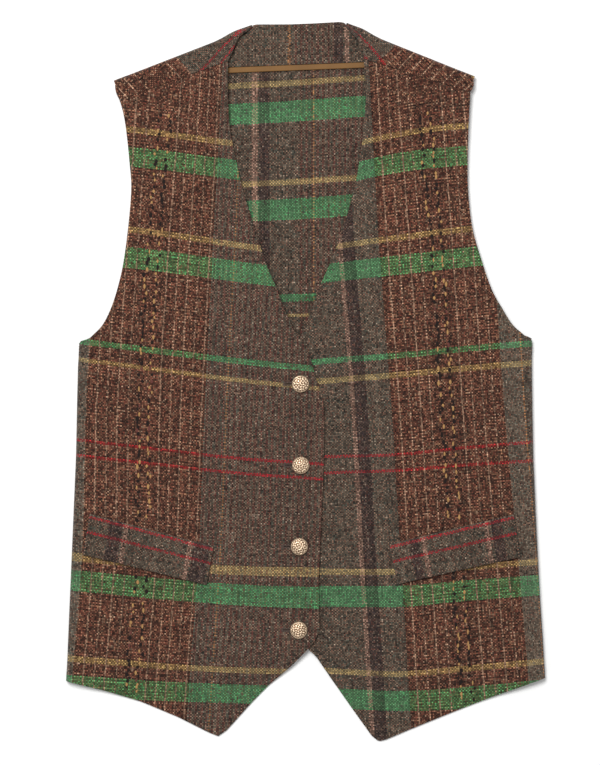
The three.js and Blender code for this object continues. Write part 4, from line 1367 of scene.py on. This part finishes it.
slubs = {}
for front, seed in ((RIGHT, 11), (LEFT, 23)):
    pick = random.Random(seed)
    points, faces, colours = [], [], []
    side_x, side_y, front_x, front_y = front["sections"][-1]
    for offset in SLUB_LINES:
        y = SLUB_TOP
        while y > SLUB_END:
            length = pick.uniform(*SLUB_SIZE["length"])
            y -= length / 2 + pick.uniform(*SLUB_SIZE["apart"])
            x = float(along(LONG_LINES[front["name"]]["slub"], long_place(y))) + offset
            hem_y = float(hem_at(front, x))
            seam_y = side_y + (front_y - side_y) * (x - side_x) / (front_x - side_x)
            under_flap = FLAP_ROWS[0] < y < FLAP_ROWS[1]
            if under_flap or not hem_y + SLUB_CLEAR < y < seam_y - SLUB_CLEAR:
                continue
            x += pick.gauss(0, 1.0)
            z = height_at(front, x, y) + CLOTH / 2 * INSIDE_THICKNESS
            # An ochre or rust lump is dyed yarn. An "ink" lump is painted shade.
            yarn = pick.choices(list(SLUB_WIDTH), SLUB_SHARES)[0]
            width = pick.uniform(*SLUB_WIDTH[yarn])
            start = len(points)
            points += slub_points(x, y, z, length, width, pick.uniform(*SLUB_SIZE["height"]))
            faces += slub_faces(start)
            colours += [YARNS[yarn]] * (len(points) - start)
    name = "slubs_" + front["name"].split("_")[1]
    obj = link_mesh(name, points, faces, slub_material)
    slub_colour_layer = obj.data.color_attributes.new("slub_colour", "FLOAT_COLOR", "POINT")
    slub_colour_layer.data.foreach_set("color", np.column_stack([colours, np.ones(len(colours))]).ravel())
    smooth(obj)
    slubs[name] = obj
    print(name, "has", len(points) // (SLUB_SIDES * len(SLUB_RINGS)), "lumps")

# %% [markdown]
# ## Buttons
#
# The buttons are domes of pale gold metal with a braided, pebbled face and a plain rim. The first is
# modelled and copied. A sphere is flattened into a dome, cut through the middle and closed, and the
# underside is inset and given its shank. Then the points of each dome are moved in and out to form
# braids, and an attribute keeps how deep each point lies, so that the hollows can be painted darker.
# That colour is painted shade in the hollows of the braid, and a painted shadow along the foot of the
# rim and under the dome.

# %% Button material
METAL_CREST = (0.93, 0.73, 0.52)
# Painted shade: the colour of the braid's hollows and of the painted shadow along the foot of the rim.
METAL_HOLLOW_SHADE = (0.20, 0.105, 0.055)
button_material, tree, shader = new_material("button_metal", roughness=0.44, metallic=0.85, specular=0.5)
braid_noise = fixed_noise(tree, size=0.0016, detail=3.0)
# The relief level paints shade: the hollows take the dark colour, and the crests take the metal's colour.
level = product(tree, attribute(tree, "relief_shade")["Fac"], between(tree, braid_noise, 0.55, 1.35))
plug(tree, blend(tree, level, METAL_HOLLOW_SHADE, METAL_CREST), shader.inputs["Base Color"])
bump(tree, shader, braid_noise, 0.0002, 0.5)

# %% Button model
BUTTON = {"radius": 8.0, "under": 7.1, "rim": 0.9, "dome": 3.3, "shank": 1.1, "shank_length": 3.1}
BUTTONS = [(-4.6, -1.9), (-4.3, -76.6), (-5.7, -151.3), (-6.2, -228.0)]
BRAID = {"pitch": 2.1, "depth": 0.5, "waves": 7, "contrast": 0.62, "fade": 0.5}
# The "under" level paints a shadow along the foot of the rim and under the dome.
BRAID_LEVEL = {"under": 0.05, "rim": 0.72, "unmoved": 0.6}  # from 0, a hollow, to 1, a crest


def make_button():
    bpy.ops.object.select_all(action="DESELECT")
    bpy.ops.mesh.primitive_uv_sphere_add(segments=120, ring_count=72, radius=BUTTON["radius"] * MM)
    obj = bpy.context.object
    bpy.ops.object.mode_set(mode="EDIT")
    bpy.ops.mesh.select_all(action="SELECT")
    flat = BUTTON["dome"] / BUTTON["radius"]
    bpy.ops.transform.resize(value=(1, 1, flat))
    bpy.ops.mesh.bisect(plane_co=(0, 0, 0), plane_no=(0, 0, 1), use_fill=True, clear_inner=True)
    bpy.ops.mesh.select_all(action="DESELECT")
    bpy.ops.object.mode_set(mode="OBJECT")
    for face in obj.data.polygons:
        face.select = face.normal.z < -0.9
    bpy.ops.object.mode_set(mode="EDIT")
    bpy.ops.mesh.extrude_region_move(TRANSFORM_OT_translate={"value": (0, 0, -BUTTON["rim"] * MM)})
    narrow = BUTTON["under"] / BUTTON["radius"]
    bpy.ops.transform.resize(value=(narrow, narrow, 1))
    inset = (BUTTON["under"] - BUTTON["shank"]) * MM
    bpy.ops.mesh.inset(thickness=inset, depth=0)
    bpy.ops.mesh.extrude_region_move(TRANSFORM_OT_translate={"value": (0, 0, -BUTTON["shank_length"] * MM)})
    bpy.ops.object.mode_set(mode="OBJECT")
    return obj


def press_braid(obj, seed):
    """Presses winding braids into the dome and notes how deep each point lies.

    Waves of one length that run in many directions add up to a pattern of winding ridges.
    """
    pick = random.Random(seed)
    waves = []
    for k in range(BRAID["waves"]):
        direction = math.pi * (k + pick.uniform(-0.3, 0.3)) / BRAID["waves"]
        length = BRAID["pitch"] * pick.uniform(0.9, 1.15)
        turns = 2 * math.pi / length
        phase = pick.uniform(0, 2 * math.pi)
        waves.append((turns * math.cos(direction), turns * math.sin(direction), phase))
    mesh = obj.data
    depth = mesh.attributes.new("relief_shade", "FLOAT", "POINT")
    for k, vertex in enumerate(mesh.vertices):
        x, y, z = (value / MM for value in vertex.co)
        total = sum(math.cos(along_x * x + along_y * y + phase) for along_x, along_y, phase in waves)
        ridge = float(ease(0.5 + BRAID["contrast"] * total / math.sqrt(BRAID["waves"])))
        on_dome = float(ease(z / BRAID["fade"])) if z > 0 else 0.0
        in_rim = float(ease((BUTTON["radius"] - BRAID["fade"] - math.hypot(x, y)) / BRAID["fade"]))
        # The level also paints the shade of the hollows, and a shadow at the foot of the rim.
        level = mix(BRAID_LEVEL["under"], mix(BRAID_LEVEL["rim"], ridge, in_rim), on_dome)
        vertex.co.z += BRAID["depth"] * (level - BRAID_LEVEL["unmoved"]) * MM * on_dome
        depth.data[k].value = level


buttons = []
pattern = make_button()
for k, (x, y) in enumerate(BUTTONS):
    mesh = pattern.data.copy()
    obj = link(bpy.data.objects.new(f"button_{k + 1}_metal", mesh))
    press_braid(obj, 5 + k)
    low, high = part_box(f"button_{k + 1}")
    lift = high[2] - BUTTON["dome"] * MM
    for vertex in mesh.vertices:
        vertex.co.x += x * MM
        vertex.co.y += y * MM
        vertex.co.z = max(vertex.co.z + lift, low[2])
    mesh.materials.clear()
    mesh.materials.append(button_material)
    smooth(obj, 40)
    buttons.append(obj)
bpy.data.objects.remove(pattern)
print("buttons:", len(buttons), "of", len(buttons[0].data.polygons), "faces")

# %% [markdown]
# ## Buttonholes
#
# Each buttonhole is a slit from its button towards the side, cut through the right front and bound
# with close stitches of dark thread. The slits are cut with a Boolean. The stitches are short
# rounded bars, set side by side along both lips and in a fan round the end.

# %% Buttonholes
BUTTONHOLE = {"length": 15.5, "past": 1.2, "slit": 0.9, "depth": 8.0, "eye": 1.5}
THREAD_COLOUR = (0.060, 0.040, 0.032)
STITCH = {"every": 0.95, "length": 2.1, "width": 0.85, "height": 0.34, "inside": 0.35}

cutter_work = bmesh.new()
for x, y in BUTTONS:
    middle = (x + BUTTONHOLE["past"] - BUTTONHOLE["length"] / 2, y, height_at(RIGHT, x, y))
    made = bmesh.ops.create_cube(cutter_work, size=1.0)
    size = (BUTTONHOLE["length"], BUTTONHOLE["slit"], BUTTONHOLE["depth"])
    bmesh.ops.scale(cutter_work, vec=[value * MM for value in size], verts=made["verts"])
    bmesh.ops.translate(cutter_work, vec=[value * MM for value in middle], verts=made["verts"])
cutter_mesh = bpy.data.meshes.new("slits")
cutter_work.to_mesh(cutter_mesh)
cutter_work.free()
cutter = link(bpy.data.objects.new("slits", cutter_mesh))
modify(panels["front_right"], "BOOLEAN", object=cutter, operation="DIFFERENCE", solver="EXACT")
bpy.data.objects.remove(cutter)

stitch_material, tree, shader = new_material("buttonhole_thread", roughness=0.7, sheen=0.1, specular=0.3)
strand = fixed_noise(tree, size=0.0006)
plug(tree, scale(tree, THREAD_COLOUR, between(tree, strand, 0.6, 1.5)), shader.inputs["Base Color"])
bump(tree, shader, strand, 0.0002, 0.5)

points, faces = [], []
for x, y in BUTTONS:
    left = x + BUTTONHOLE["past"] - BUTTONHOLE["length"]
    stitches = []
    steps = int((BUTTONHOLE["length"] - BUTTONHOLE["eye"]) / STITCH["every"])
    from_slit = BUTTONHOLE["slit"] / 2 + STITCH["length"] / 2 - STITCH["inside"]
    for k in range(steps):
        at = left + k * STITCH["every"]
        for side in (-1, 1):
            stitches.append((at, y + side * from_slit, 90.0))
    for degrees in (120, 150, 180, 210, 240):
        turn = math.radians(degrees)
        reach = STITCH["length"] / 2 + 0.1
        stitches.append((left - 0.1 + reach * math.cos(turn), y + (reach + 0.2) * math.sin(turn), degrees))
    for at_x, at_y, degrees in stitches:
        turn = math.radians(degrees)
        z = height_at(RIGHT, at_x, at_y) + CLOTH / 2 * INSIDE_THICKNESS
        start = len(points)
        lump = np.array(slub_points(0, 0, 0, STITCH["length"], STITCH["width"], STITCH["height"]))
        turned_x = lump[:, 0] * math.sin(turn) + lump[:, 1] * math.cos(turn) + at_x
        turned_y = -lump[:, 0] * math.cos(turn) + lump[:, 1] * math.sin(turn) + at_y
        points += np.column_stack([turned_x, turned_y, lump[:, 2] + z]).tolist()
        faces += slub_faces(start)
stitches_obj = link_mesh("buttonhole_stitches", points, faces, stitch_material)
smooth(stitches_obj)
each = len(points) // (SLUB_SIDES * len(SLUB_RINGS)) // len(BUTTONS)
print("buttonholes:", len(BUTTONS), "of", each, "stitches")

# %% [markdown]
# ## Hand the pieces to the frame
#
# Every piece stands for the solid that it dresses and rides on the one body.

# %% Ride and replace
FLOOR = 4000.0  # from the middle to each side
floor_material, tree, shader = new_material("floor_paper", roughness=0.95, specular=0.1)
shader.inputs["Base Color"].default_value = (0.93, 0.93, 0.925, 1.0)
floor_corners = [(-FLOOR, -FLOOR, 0), (FLOOR, -FLOOR, 0), (FLOOR, FLOOR, 0), (-FLOOR, FLOOR, 0)]
floor = link_mesh("floor", floor_corners, [(0, 1, 2, 3)], floor_material)

for name, obj in panels.items():
    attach(obj, "root")
    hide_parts(name)
    width, length, area = cuts[name]
for k, obj in enumerate(buttons):
    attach(obj, "root")
    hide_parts(f"button_{k + 1}")
for name, obj in slubs.items():
    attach(obj, "root")
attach(stitches_obj, "root")

# %% [markdown]
# ## Light
#
# A bright, even studio: a white surround for soft light from everywhere, and one wide lamp above the
# neck end, to the left, that draws a thin shadow below each edge.

# %% Light and world
world = bpy.data.worlds.new("studio")
bpy.context.scene.world = world
world.use_nodes = True
background = world.node_tree.nodes["Background"]
background.inputs["Color"].default_value = (1.0, 1.0, 1.0, 1.0)
background.inputs["Strength"].default_value = 0.50
KEY = {"place": (-0.55, 0.85, 2.2), "size": 1.1, "power": 52.0}
key_data = bpy.data.lights.new("key", "AREA")
key_data.shape = "DISK"
key_data.size = KEY["size"]
key_data.energy = KEY["power"]
key = link(bpy.data.objects.new("key", key_data))
key.location = KEY["place"]
key.rotation_euler = (-Vector(KEY["place"])).to_track_quat("-Z", "Y").to_euler()
bpy.context.scene.view_settings.view_transform = "Standard"
bpy.context.scene.view_settings.look = "None"
